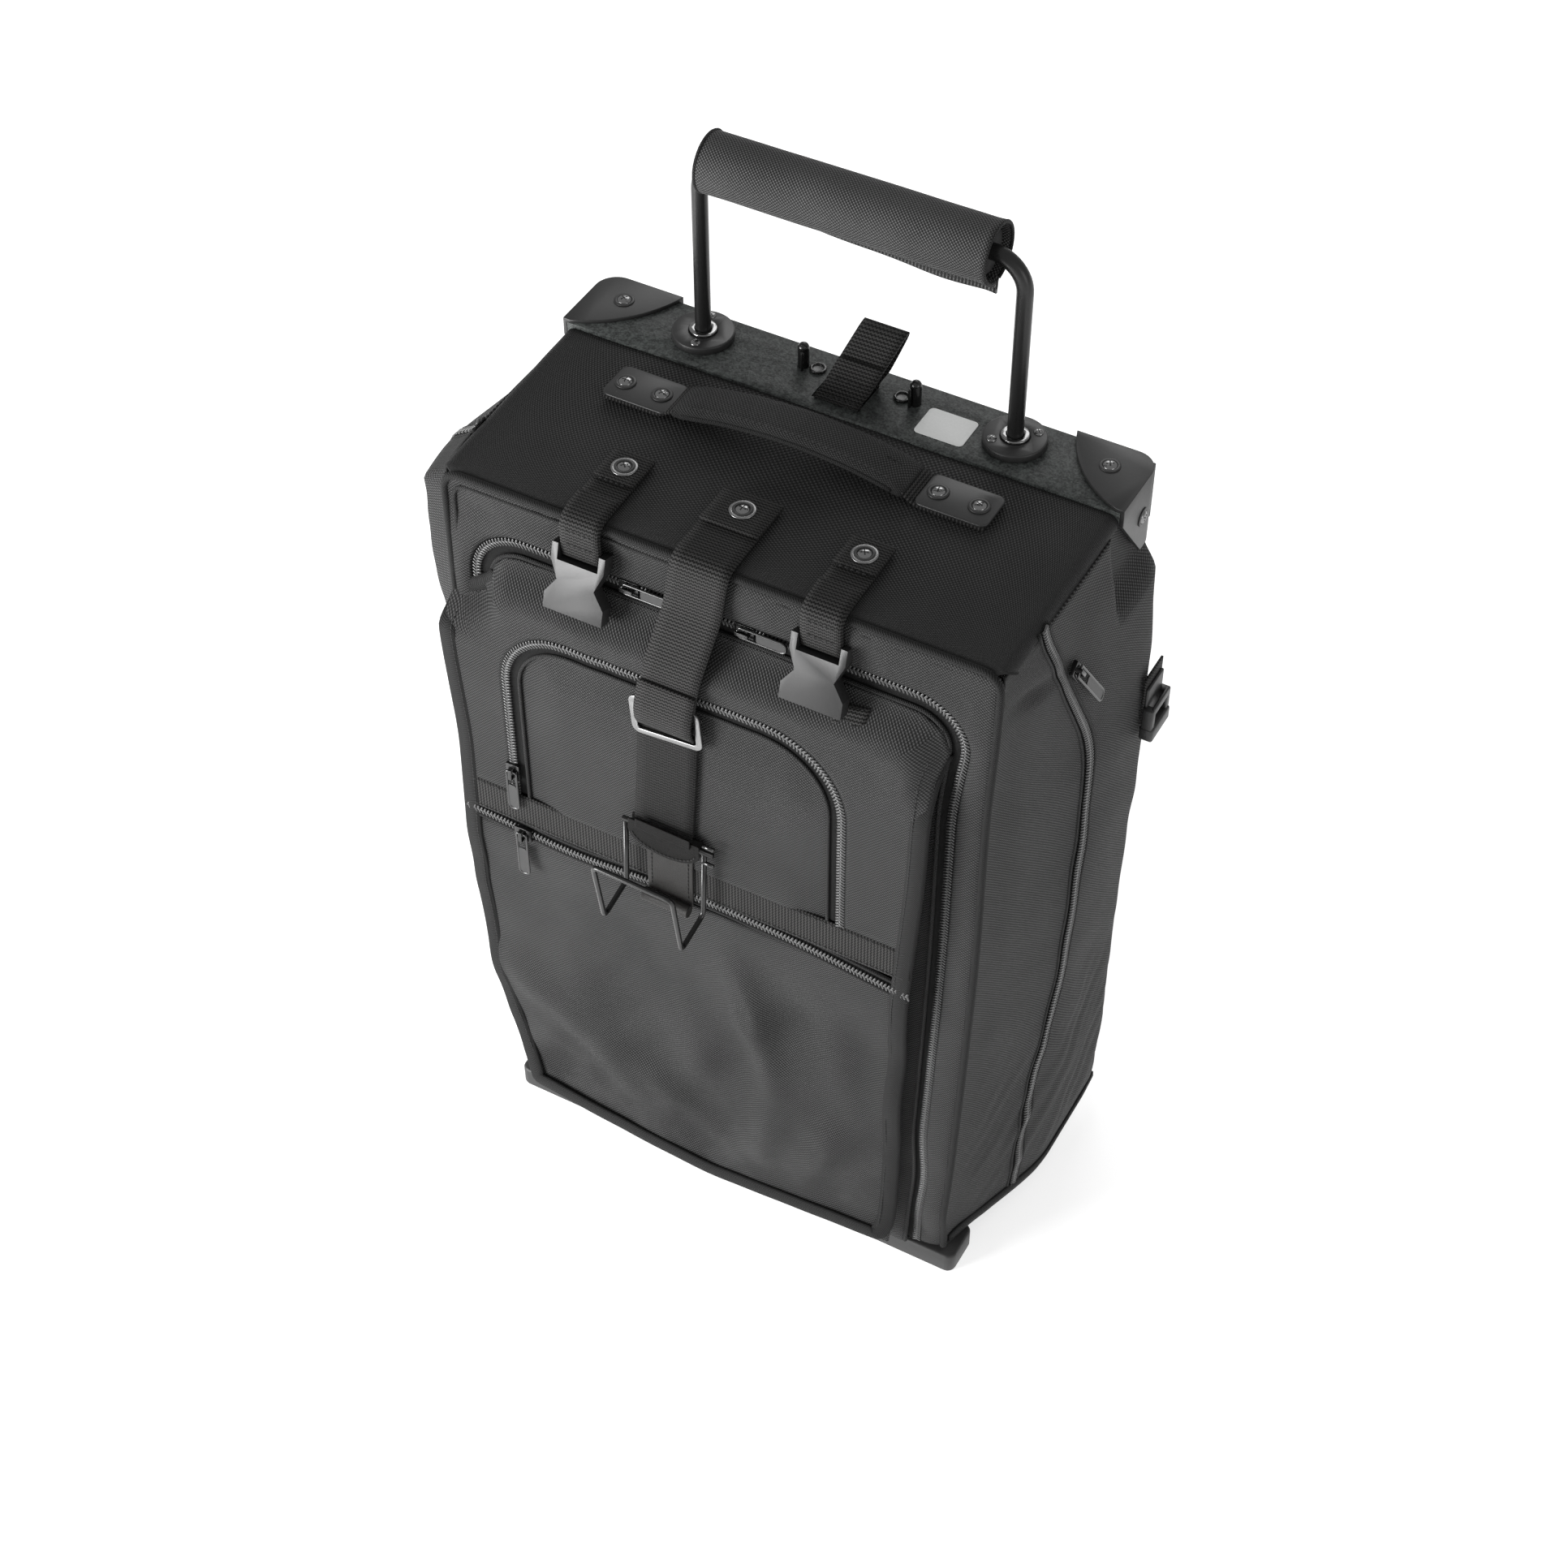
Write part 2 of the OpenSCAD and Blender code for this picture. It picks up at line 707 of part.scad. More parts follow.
// ---- wheels ----
module wheel_housings() {
  color([0.1, 0.1, 0.1])
    both() {
      for (x = [wheel_x - 18.5, wheel_x + 15.5])
        across(x, x + 3)
          difference() {
            union() {
              translate([axle_y, axle_z]) circle(r = house_r + 3);
              translate([axle_y, base_z]) square([body_back - axle_y, axle_z + house_r + 3 - base_z]);
              translate([axle_y - house_r - 3, base_z]) square([house_r, axle_z - base_z]);
            }
            translate([0, -20]) square([200, 20 + base_z]);
            translate([body_back, 0]) square([100, 200]);
            translate([axle_y, axle_z]) circle(r = 4);
          }
      across(wheel_x - 15.5, wheel_x + 15.5)
        difference() {
          union() {
            translate([axle_y, axle_z]) circle(r = house_r + 3);
            translate([axle_y, base_z]) square([body_back - axle_y, axle_z + house_r + 3 - base_z]);
            translate([axle_y - house_r - 3, base_z]) square([house_r, axle_z - base_z]);
          }
          translate([0, -20]) square([200, 20 + base_z]);
          translate([body_back, 0]) square([100, 200]);
          translate([axle_y, axle_z]) circle(r = house_r);
          translate([axle_y - house_r, 0]) square([house_r, axle_z]);
          translate([axle_y, 0]) square([100, axle_z + house_r]);
        }
    }
}
module wheel_axles() {
  color([0.7, 0.7, 0.72])
    both() {
      rod_x([wheel_x - 19, axle_y, axle_z], 38, 3.95);
      rod_x([wheel_x - 15.4, axle_y, axle_z], 3.8, 6);
      rod_x([wheel_x + 11.6, axle_y, axle_z], 3.8, 6);
      rod_x([wheel_x - 22, axle_y, axle_z], 3, 7);
    }
}
// one wheel about the X axis: tyre, rim and five windows
module wheel() {
  h = wheel_w / 2;
  r = wheel_d / 2;
  difference() {
    rotate([0, 90, 0])
      rotate_extrude($fn = 96)
        polygon([[11, -11], [15, -11], [15, -4], [28, -4], [28, -h], [r - 5, -h], [r - 1.5, -h + 1.5],
          [r, -h + 5], [r, h - 5], [r - 1.5, h - 1.5], [r - 5, h], [28, h], [28, 4], [15, 4], [15, 11],
          [11, 11]]);
    for (a = [0 : 72 : 288])
      rotate([a, 0, 0]) rod_x([-10, 0, 21.5], 20, 4.5);
  }
}
module wheel_left() {
  color([0.08, 0.08, 0.08]) translate([-wheel_x, axle_y, axle_z]) wheel();
}
module wheel_right() {
  color([0.08, 0.08, 0.08]) translate([wheel_x, axle_y, axle_z]) wheel();
}
module bearings(x) {
  color([0.8, 0.8, 0.82])
    for (s = [-11, 4])
      difference() {
        rod_x([x + s, axle_y, axle_z], 7, 11);
        rod_x([x + s - 1, axle_y, axle_z], 9, 4);
      }
}
module wheel_bearings_left() {
  bearings(-wheel_x);
}
module wheel_bearings_right() {
  bearings(wheel_x);
}
module front_feet() {
  color([0.2, 0.2, 0.21])
    both()
      difference() {
        linear_extrude(height = base_z) pad2([104, body_front + 1], [166, body_front + 32], 6);
        rod_z([135, body_front + 16, -1], 5, 3.5);
      }
}

// ---- sliders ----
// zip slider whose outer face looks to -Y, w wide and h high, with a bridge for its pull
module slider(w, h) {
  difference() {
    union() {
      span([-w / 2, -2.4, -h / 2], [w / 2, 0, h / 2]);
      span([-1.2, -6, -4], [1.2, -2.4, 4]);
    }
    span([-2, -5, -2.6], [2, -2.6, 2.6]);
  }
}
// the pull that hangs from the bridge, l long
module pull(l) {
  rod_x([-3.4, -3.8, -1], 6.8, 0.8);
  for (x = [-3.4, 2.2])
    span([x, -4.6, -8], [x + 1.2, -3, -0.2]);
  span([-4.2, -4.6, -l], [4.2, -3, -7.4]);
}
// places for the sliders: on the level part of the main zip
module at_main(x) {
  translate([x, body_front - 1.5, zip_u_z]) rotate([0, -90, 0]) children();
}
// on the right side zip's sloping part
module at_side() {
  translate([183, side_zip_y - 48.4, 496])
    rotate([0, -5.56, 0]) rotate([32.3, 0, 0]) rotate([0, 0, 90]) children();
}
module main_sliders() {
  color([0.1, 0.1, 0.1])
    for (x = [main_x1, main_x2])
      at_main(x) slider(9, 12);
}
module main_pull_left() {
  color([0.1, 0.1, 0.1]) at_main(main_x1) pull(28);
}
module main_pull_right() {
  color([0.1, 0.1, 0.1]) at_main(main_x2) pull(28);
}
module lower_slider() {
  color([0.1, 0.1, 0.1]) translate([low_x, pocket_y - 1, low_zip_z]) slider(12, 9);
}
module lower_pull() {
  color([0.1, 0.1, 0.1]) translate([low_x, pocket_y - 1, low_zip_z]) pull(34);
}
module panel_slider() {
  color([0.1, 0.1, 0.1]) translate([panel_x1, pocket_y - 1, panel_sz]) slider(9, 12);
}
module panel_pull() {
  color([0.1, 0.1, 0.1]) translate([panel_x1, pocket_y - 1, panel_sz]) pull(30);
}
module side_slider_left() {
  color([0.1, 0.1, 0.1]) mirror([1, 0, 0]) at_side() slider(9, 12);
}
module side_pull_left() {
  color([0.1, 0.1, 0.1]) mirror([1, 0, 0]) at_side() pull(42);
}
module side_slider_right() {
  color([0.1, 0.1, 0.1]) at_side() slider(9, 12);
}
module side_pull_right() {
  color([0.1, 0.1, 0.1]) at_side() pull(42);
}

frame_plate();
corner_caps();
frame_screws();
tube_flanges();
flange_lips();
bag_pins();
label_plate();
guide_tubes();
guide_feet();
pull_tubes();
tube_glides();
grip_foam();
grip_wrap();
release_loop();
release_yoke();
top_panel();
back_board();
base_board();
side_walls();
front_frame();
front_flap();
main_zip();
piping();
side_pockets();
side_zips();
side_fittings();
pocket_gusset();
pocket_panels();
pocket_flap();
pocket_zips();
pocket_trim();
carry_plates();
carry_strap();
top_screws();
straps();
centre_strap();
buckle_left();
buckle_right();
tri_glide();
hook_keeper();
hook_wire();
wheel_housings();
wheel_axles();
wheel_left();
wheel_right();
wheel_bearings_left();
wheel_bearings_right();
front_feet();
main_sliders();
main_pull_left();
main_pull_right();
lower_slider();
lower_pull();
panel_slider();
panel_pull();
side_slider_left();
side_pull_left();
side_slider_right();
side_pull_right();
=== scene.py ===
import json
import math

import bmesh
import bpy
from mathutils import Matrix, Vector, noise


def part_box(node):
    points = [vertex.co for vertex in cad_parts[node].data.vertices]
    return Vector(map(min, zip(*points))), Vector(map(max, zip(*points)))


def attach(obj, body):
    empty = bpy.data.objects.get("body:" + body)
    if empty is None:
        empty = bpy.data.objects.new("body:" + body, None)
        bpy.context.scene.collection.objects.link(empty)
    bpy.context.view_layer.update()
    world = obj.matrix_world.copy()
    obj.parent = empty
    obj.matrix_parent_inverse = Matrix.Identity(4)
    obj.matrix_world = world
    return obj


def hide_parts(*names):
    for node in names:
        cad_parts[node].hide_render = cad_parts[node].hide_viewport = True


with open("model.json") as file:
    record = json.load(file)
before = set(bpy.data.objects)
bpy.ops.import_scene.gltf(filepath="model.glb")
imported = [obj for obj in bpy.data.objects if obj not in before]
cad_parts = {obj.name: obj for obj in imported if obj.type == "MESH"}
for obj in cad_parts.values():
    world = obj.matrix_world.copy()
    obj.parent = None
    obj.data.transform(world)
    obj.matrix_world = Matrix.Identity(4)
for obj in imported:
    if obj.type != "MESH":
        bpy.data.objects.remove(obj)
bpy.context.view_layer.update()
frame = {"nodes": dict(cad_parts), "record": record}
TAU = 2 * math.pi

# %% [markdown]
# ## Room, light and camera
# The bag stands on a plain white floor in a pale room. The main lamp is large
# and stands low in front, left of the middle, so the front is the bright side,
# the top stays dark and smooth buckles mirror the lamp. A weak one keeps the
# right side open and one behind draws bright edges on the tubes. The camera
# looks down from the front right with a long lens.
# %% Floor, lamps and camera
def aim(ob, place, at):
    ob.location = place
    ob.rotation_euler = (Vector(at) - Vector(place)).to_track_quat("-Z", "Y").to_euler()
    return ob


def lamp(name, place, at, size, watts):
    data = bpy.data.lights.new(name, "AREA")
    data.size, data.energy = size, watts
    ob = bpy.data.objects.new(name, data)
    bpy.context.collection.objects.link(ob)
    return aim(ob, place, at)


world = bpy.data.worlds.new("room")
world.use_nodes = True
world.node_tree.nodes["Background"].inputs[0].default_value = (1, 1, 1, 1)
world.node_tree.nodes["Background"].inputs[1].default_value = 0.45
bpy.context.scene.world = world
lamp("main", (-0.95, -1.2, 0.46), (0, -0.05, 0.34), 0.8, 36)
lamp("side", (2.0, -0.6, 1.0), (0, 0, 0.35), 1.0, 6)
lamp("behind", (-0.6, 1.8, 1.6), (0, 0, 0.4), 1.0, 8)

data = bpy.data.cameras.new("camera")
data.sensor_width, data.lens = 36, 67.26
data.shift_x, data.shift_y = 0.0018, 0.0143
camera = bpy.data.objects.new("camera", data)
bpy.context.collection.objects.link(camera)
turn, rise, roll = (math.radians(a) for a in (29.09, 46.61, 0.23))
camera.matrix_world = (
    Matrix.Translation((0.6019, -1.072, 1.6045))
    @ Matrix.Rotation(turn, 4, "Z")
    @ Matrix.Rotation(math.pi / 2 - rise, 4, "X")
    @ Matrix.Rotation(-roll, 4, "Z")
)
bpy.context.scene.camera = camera
bpy.context.scene.view_settings.view_transform = "Standard"
print("camera at", [round(c, 2) for c in camera.location])

# %% [markdown]
# ## Finishes as sums
# A finish is a small graph of nodes. Written out, such a graph is hard to read,
# so a socket is wrapped in a class that understands + - * and sin, and one
# method adds any other node. A finish then reads like the formula that it is.
# %% The finish helper
class Sock:
    def __init__(self, finish, out):
        self.finish, self.out = finish, out

    def math(self, kind, *others):
        return self.finish.node("Math", dict(operation=kind), self, *others)

    def __add__(self, o):
        return self.math("ADD", o)

    def __mul__(self, o):
        return self.math("MULTIPLY", o)

    def __sub__(self, o):
        return self.math("SUBTRACT", o)

    def __rsub__(self, o):
        return self.finish.node("Math", dict(operation="SUBTRACT"), o, self)

    __radd__, __rmul__ = __add__, __mul__

    def wave(self, pitch):
        """0 to 1 and back once in each pitch"""
        return (self * (TAU / pitch)).math("SINE") * 0.5 + 0.5

    def step(self, low, high):
        """0 below low, 1 above high, smooth between"""
        ends = dict(interpolation_type="SMOOTHSTEP")
        return self.finish.node("MapRange", ends, self, low, high, 0.0, 1.0)


class Finish:
    def __init__(self, name, slot, rough=0.5, **fixed):
        self.data, self.slot = bpy.data.materials.new(name), slot
        self.data.use_nodes = True
        self.tree = self.data.node_tree
        self.shader = self.tree.nodes["Principled BSDF"]
        self.shader.inputs["Roughness"].default_value = rough
        for k, v in fixed.items():
            self.shader.inputs[k.replace("_", " ")].default_value = v

    def put(self, socket, value):
        if isinstance(value, Sock):
            self.tree.links.new(value.out, socket)
        elif isinstance(value, tuple) and len(value) == 3 and socket.type == "RGBA":
            socket.default_value = (*value, 1)
        elif value is not None:
            socket.default_value = value

    def node(self, kind, settings, *values, out=0, **named):
        n = self.tree.nodes.new("ShaderNode" + kind)
        for k, v in settings.items():
            setattr(n, k, v)
        for socket, v in zip(n.inputs, values):
            self.put(socket, v)
        for k, v in named.items():
            self.put(n.inputs[k], v)
        return Sock(self, n.outputs[out])

    def xyz(self, source):
        cut = self.node("SeparateXYZ", {}, source)
        return [Sock(self, o) for o in cut.out.node.outputs]

    def place(self):
        return self.node("TexCoord", {}, out="Object")

    def cloth(self):
        return self.node("UVMap", dict(uv_map="cloth"))

    def speck(self, at, scale, detail=3.0):
        return self.node("TexNoise", {}, Vector=at, Scale=scale, Detail=detail)

    def mix(self, amount, a, b):
        n = self.tree.nodes.new("ShaderNodeMix")
        n.data_type = "RGBA"
        for k, v in ((0, amount), (6, a), (7, b)):
            self.put(n.inputs[k], v)
        return Sock(self, n.outputs[2])

    def done(self, color, rough=None, height=None, deep=0.0003, strength=1.0, metal=None):
        self.put(self.shader.inputs["Base Color"], color)
        self.put(self.shader.inputs["Roughness"], rough)
        self.put(self.shader.inputs["Metallic"], metal)
        if height is not None:
            bump = self.node("Bump", {}, Strength=strength, Distance=deep, Height=height)
            self.put(self.shader.inputs["Normal"], bump)
        self.data["slot"] = self.slot
        return self.data


def grey(level, warm=0.0):
    return (level * (1 + warm), level, level * (1 - warm))


print("finish helper ready")

# %% [markdown]
# ## Cloth finishes
# The bag's cloth is coarse nylon: thick bundles of filament over and under each
# other, so each crossing is a small shiny bead. Two sine waves multiplied give
# exactly those beads. They run on the cloth's own UV map, which is laid out in
# metres, so every panel shows the same thread size and the weave bends with it.
# Webbing and binding tape are woven too, but their ribs run across or in a V.
# %% Nylon, webbing, tape
def nylon(name, pitch=0.0021, dark=0.003, light=0.062, worn=0.0):
    f = Finish(name, "nylon_cloth", 0.6, Sheen_Weight=0.02, Specular_IOR_Level=0.22)
    at, spot = f.cloth(), f.place()
    u, v, _ = f.xyz(at)
    beads = (u * (TAU / pitch)).math("SINE") * (v * (TAU / pitch)).math("SINE") * 0.5 + 0.5
    fibre = f.speck(at, 2600.0, 2.0)
    cloudy = f.speck(spot, 14.0, 4.0).step(0.35, 0.7)
    bead = beads.step(0.3, 1.0)
    # The colour follows the beads: partly the weave's own pattern, partly painted highlight on each crossing and
    # painted shade in the gaps between.
    tone = bead * 0.75 + fibre * 0.22 + cloudy * 0.1
    # Lighter patches low on the cloth: partly wear, partly painted sheen, the shine of a clear scuff guard painted
    # in as colour.
    if worn:
        z = f.xyz(spot)[2]
        rub_and_sheen = f.speck(spot, 30.0, 5.0).step(0.45, 0.7) * (1 - z.step(0.02, worn))
        tone = tone + rub_and_sheen * 0.3
    color = f.mix(tone, grey(dark), grey(light))
    return f.done(color, 0.72 - bead * 0.25, beads + fibre * 0.25, 0.0006, 1.0)


def webbing(name, pitch=0.0022, dark=0.002, light=0.042):
    f = Finish(name, "webbing", 0.7, Sheen_Weight=0.02, Specular_IOR_Level=0.18)
    at = f.cloth()
    u, v, _ = f.xyz(at)
    flip = (u * (TAU / 0.0024)).math("SINE").math("SIGN") * (pitch / 9)
    rib = (v + flip).wave(pitch)
    cord = u.wave(0.0012)
    fibre = f.speck(at, 2400.0, 2.0)
    tone = rib * 0.75 + cord * 0.08 + fibre * 0.3
    color = f.mix(tone.step(0.15, 1.05), grey(dark, 0.02), grey(light, 0.02))
    return f.done(color, 0.75 - rib * 0.15, rib + cord * 0.4 + fibre * 0.2, 0.0004, 0.9)


def tape(name, slot="webbing", dark=0.003, light=0.024, pitch=0.0016):
    f = Finish(name, slot, 0.75, Sheen_Weight=0.02, Specular_IOR_Level=0.15)
    at = f.cloth()
    u, v, _ = f.xyz(at)
    tooth = (u * (1 / 0.0046)).math("FRACT") - 0.5
    slant = tooth.math("ABSOLUTE") * 0.0046
    rib = (v + slant).wave(pitch)
    tone = rib * 0.7 + f.speck(at, 2000.0) * 0.35
    return f.done(f.mix(tone, grey(dark), grey(light)), 0.72, rib, 0.00025, 0.8)


cloth = nylon("coarse nylon")
# This copy is lighter near its foot: partly wear, partly painted sheen.
cloth_low = nylon("coarse nylon, worn and painted sheen below", worn=0.14)
cloth_fine = nylon("finer nylon", pitch=0.0014, dark=0.004, light=0.045)
# The grip's cloth is the same nylon painted lighter: painted light for the light its rounded top catches.
grip_cloth_painted_light = nylon("nylon of the grip, painted lighter", light=0.14)
strap_cloth = webbing("ribbed webbing")
# A darker copy of the same webbing for the strap piece that faces the lamp: painted shade that tones down the
# light on it.
strap_painted_dark_low = webbing("ribbed webbing, painted darker in full light", light=0.016)
bind_cloth = tape("herringbone binding")
band_cloth = webbing("band webbing", 0.0021)
zip_cloth = tape("zip tape", "zip", 0.004, 0.018, 0.0009)
# The smooth tape is black, and it is made darker still: painted shade for the deep shadow along the main and D
# zips.
zip_smooth_painted_shade = tape("smooth zip tape", "zip", 0.003, 0.012, 0.0007)
print("cloth finishes made")

# %% [markdown]
# ## Hard finishes
# The top frame is steel under a wrinkled coat, mottled and dull. Its corner caps
# and the handle plates are smooth satin black, screws and lips are bright, the
# pull tubes are dyed and show fine draw lines along them. Each one varies a
# little over the surface, because nothing real is one even colour.
# %% Coats, metals, plastics, leather, rubber
def wrinkle_coat():
    f = Finish("wrinkled coat", "textured_plate", 0.6, Specular_IOR_Level=0.5)
    at = f.place()
    grain = f.speck(at, 800.0, 5.0)
    blotch = f.speck(at, 300.0, 4.0).step(0.4, 0.62)
    color = f.mix(grain.step(0.35, 0.68) * 0.6 + blotch * 0.4, (0.009, 0.0105, 0.01), (0.075, 0.084, 0.08))
    return f.done(color, 0.66 - grain * 0.2, grain, 0.0006, 0.7)


def satin(name, slot, level, rough, grain=500.0, deep=0.00004, **fixed):
    f = Finish(name, slot, rough, **fixed)
    at = f.place()
    fine, wide = f.speck(at, grain, 3.0), f.speck(at, 22.0, 4.0)
    color = f.mix(wide.step(0.3, 0.75) * 0.6 + fine * 0.3, grey(level * 0.82), grey(level * 1.25))
    return f.done(color, rough + (wide - 0.5) * 0.14 + (fine - 0.5) * 0.06, fine, deep, 0.5)


def drawn(name, slot, level, rough, along, metal=1.0, **fixed):
    """metal with fine lines along one axis"""
    f = Finish(name, slot, rough, Metallic=metal, **fixed)
    x, y, z = f.xyz(f.place())
    squash = [axis * (0.02 if k == along else 1.0) for k, axis in enumerate((x, y, z))]
    lines = f.speck(f.node("CombineXYZ", {}, *squash), 1800.0, 2.0)
    wide = f.speck(f.place(), 30.0, 4.0)
    color = f.mix(lines * 0.6 + wide * 0.4, grey(level * 0.8), grey(level * 1.2))
    return f.done(color, rough + (lines - 0.5) * 0.15 + (wide - 0.5) * 0.1, lines, 0.00002, 0.4)


def hide(name, level, shine):
    f = Finish(name, "leather", 0.45, Specular_IOR_Level=shine)
    at = f.place()
    cell = f.node("TexVoronoi", dict(feature="DISTANCE_TO_EDGE"), Vector=at, Scale=900.0)
    pore, wide = cell.step(0.0, 0.16), f.speck(at, 60.0, 4.0)
    color = f.mix(pore * 0.5 + wide * 0.5, grey(level * 0.3, 0.06), grey(level, 0.06))
    return f.done(color, 0.55 - pore * 0.15 + (wide - 0.5) * 0.2, pore + wide, 0.00012, 0.6)


def plain_card():
    f = Finish("blank label", "label", 0.45)
    at = f.place()
    fibre = f.speck(at, 700.0, 4.0)
    return f.done(f.mix(fibre, (0.74, 0.75, 0.74), (0.84, 0.85, 0.84)), 0.5 - fibre * 0.1, fibre, 0.00003, 0.3)


coat = wrinkle_coat()
black_satin = satin("satin black", "satin_black", 0.03, 0.42, Metallic=0.15)
black_metal = satin("black wire", "satin_black", 0.05, 0.24, Metallic=0.85)
moulded = satin("moulded black plastic", "black_plastic", 0.02, 0.4, 700.0, 0.00008)
foot_plastic = satin("grey moulded foot", "black_plastic", 0.03, 0.5, 420.0, 0.0001)
tooth_plastic = satin("zip teeth", "zip", 0.07, 0.18, 900.0, 0.00002)
foam = satin("grip foam", "foam", 0.014, 0.85, 1100.0, 0.0003)
rubber = satin("wheel rubber", "wheel_rubber", 0.02, 0.62, 520.0, 0.00012)
thread = satin("thread", "webbing", 0.012, 0.7, 2000.0, 0.0001)
glide_plastic = satin("cream glide plastic", "glide_plastic", 0.5, 0.4)
screw_steel = drawn("screw steel", "screw_steel", 0.24, 0.24, 2)
chrome = drawn("bright metal", "bright_metal", 0.26, 0.18, 2)
pull_metal = drawn("dark plated metal", "bright_metal", 0.09, 0.22, 2)
glide_metal = drawn("silver slide metal", "bright_metal", 0.26, 0.32, 0)
tube_black = drawn("dyed tube", "black_tube", 0.03, 0.3, 2, 0.6)
bare_tube = drawn("bare tube", "tube_aluminium", 0.55, 0.34, 2)
ring_steel = drawn("bearing steel", "bearing_steel", 0.6, 0.22, 0)
leather, leather_dark = hide("worn leather", 0.02, 0.3), hide("black leather", 0.006, 0.1)
label_card = plain_card()
print(len(bpy.data.materials), "finishes")

# %% [markdown]
# ## Four ways to make a piece
# Nearly everything here is one of four shapes. A *patch* is a flat grid whose
# points are moved onto a curved surface, which suits cloth panels. A *ribbon*
# is a narrow patch along a path. A *wire* is a curve with a round section. A
# *plate* is a flat outline given a thickness and soft edges. Each helper keeps
# the object at the origin and hands the piece to the body that it rides on.
# %% Keeping a piece
def keep(bm, name, body, finish, thick=0.0, round_up=0, bevel=0.0, replaces=(), offset=-1):
    mesh = bpy.data.meshes.new(name)
    bm.to_mesh(mesh)
    bm.free()
    ob = bpy.data.objects.new(name, mesh)
    bpy.context.collection.objects.link(ob)
    mesh.shade_smooth()
    if thick:
        m = ob.modifiers.new("wall", "SOLIDIFY")
        m.thickness, m.offset = thick, offset
    if bevel:
        m = ob.modifiers.new("soft edges", "BEVEL")
        m.width, m.segments, m.limit_method = bevel, 2, "ANGLE"
        m.harden_normals = True
    if round_up:
        m = ob.modifiers.new("round", "SUBSURF")
        m.levels = m.render_levels = round_up
    finishes = finish if isinstance(finish, (list, tuple)) else [finish]
    for f in finishes:
        mesh.materials.append(f)
    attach(ob, body)
    if replaces:
        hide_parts(*replaces)
    return ob


def flip_x(bm):
    bmesh.ops.scale(bm, vec=(-1, 1, 1), verts=bm.verts)
    bmesh.ops.reverse_faces(bm, faces=bm.faces)


# %% Patch and ribbon
def patch(nu, nv, place, bm=None, front=False):
    """grid whose point at (u, v), each 0 to 1, is moved to place(u, v); front lays the weave flat on X and Z"""
    bm = bm or bmesh.new()
    uv = bm.loops.layers.uv.get("cloth") or bm.loops.layers.uv.new("cloth")
    new = bmesh.ops.create_grid(bm, x_segments=nu, y_segments=nv, size=0.5)["verts"]
    spot = {p: (p.co.x + 0.5, p.co.y + 0.5) for p in new}
    for p, (u, v) in spot.items():
        p.co = place(u, v)
    mid = [Vector(place(k / 24, 0.5)) for k in range(25)]
    up = [Vector(place(0.5, k / 24)) for k in range(25)]
    wide = sum((b - a).length for a, b in zip(mid, mid[1:]))
    tall = sum((b - a).length for a, b in zip(up, up[1:]))
    for p in new:
        for loop in p.link_loops:
            u, v = spot[p]
            loop[uv].uv = (p.co.x, p.co.z) if front else (u * wide, v * tall)
    return bm


def steps(points, gap):
    """points spread evenly along a path given by its corners"""
    points = [Vector(p) for p in points]
    run = [0.0]
    for a, b in zip(points, points[1:]):
        run.append(run[-1] + (b - a).length)
    n, out, k = max(2, round(run[-1] / gap)), [], 0
    for i in range(n + 1):
        s = run[-1] * i / n
        while k < len(run) - 2 and run[k + 1] < s:
            k += 1
        part = (s - run[k]) / max(1e-9, run[k + 1] - run[k])
        out.append(points[k].lerp(points[k + 1], min(1.0, part)))
    return out


def frames(path, out):
    """place, direction along, and sideways at each point of a path whose face looks along out"""
    rows = []
    for k, p in enumerate(path):
        t = (path[min(k + 1, len(path) - 1)] - path[max(k - 1, 0)]).normalized()
        n = Vector(out(p)) if callable(out) else Vector(out)
        rows.append((p, t, t.cross(n).normalized(), n))
    return rows


def sweep(path, profile, out, closed=False, gap=0.004, bm=None, shape=lambda p, s, h: (s, h)):
    """a section carried along a path; profile is (sideways, outward) pairs from left to right"""
    rows = frames(steps(path, gap), out)
    last = len(profile) - 1

    def place(u, v):
        p, t, side, n = rows[min(len(rows) - 1, round(v * (len(rows) - 1)))]
        k = u * last
        a, b = profile[min(last, int(k + 1e-6))], profile[min(last, int(k + 1e-6) + 1)]
        part = k - int(k + 1e-6)
        s, h = shape(p, a[0] + (b[0] - a[0]) * part, a[1] + (b[1] - a[1]) * part)
        return p + side * s + n * h

    bm = patch(last, len(rows) - 1, place, bm)
    if closed:
        bmesh.ops.remove_doubles(bm, verts=bm.verts, dist=1e-6)
        bmesh.ops.holes_fill(bm, edges=[e for e in bm.edges if e.is_boundary], sides=0)
    return bm


def ribbon(path, width, out, gap=0.004, across=4, shift=0.0, lift=0.0):
    """flat strip along a path, its outer face raised by lift"""
    half = width / 2
    profile = [(shift - half + width * k / across, lift) for k in range(across + 1)]
    return sweep(path, profile, out, gap=gap)


def circle(r, n=10):
    """closed section for a cord, first point repeated at the end"""
    return [(-r * math.cos(TAU * k / n), r * math.sin(TAU * k / n)) for k in range(n + 1)]


# %% Wire, plate, teeth and stitches
def rounded(points, r, closed=False, n=5):
    """a path whose corners are cut to arcs of about radius r"""
    pts, out = [Vector(p) for p in points], []
    for k, p in enumerate(pts):
        a, b = pts[k - 1], pts[(k + 1) % len(pts)]
        if not closed and k in (0, len(pts) - 1):
            out.append(p)
            continue
        da, db = (a - p), (b - p)
        cut = min(r, da.length * 0.49, db.length * 0.49)
        a, b = p + da.normalized() * cut, p + db.normalized() * cut
        out += [a.lerp(p, t).lerp(p.lerp(b, t), t) for t in (i / n for i in range(n + 1))]
    return out


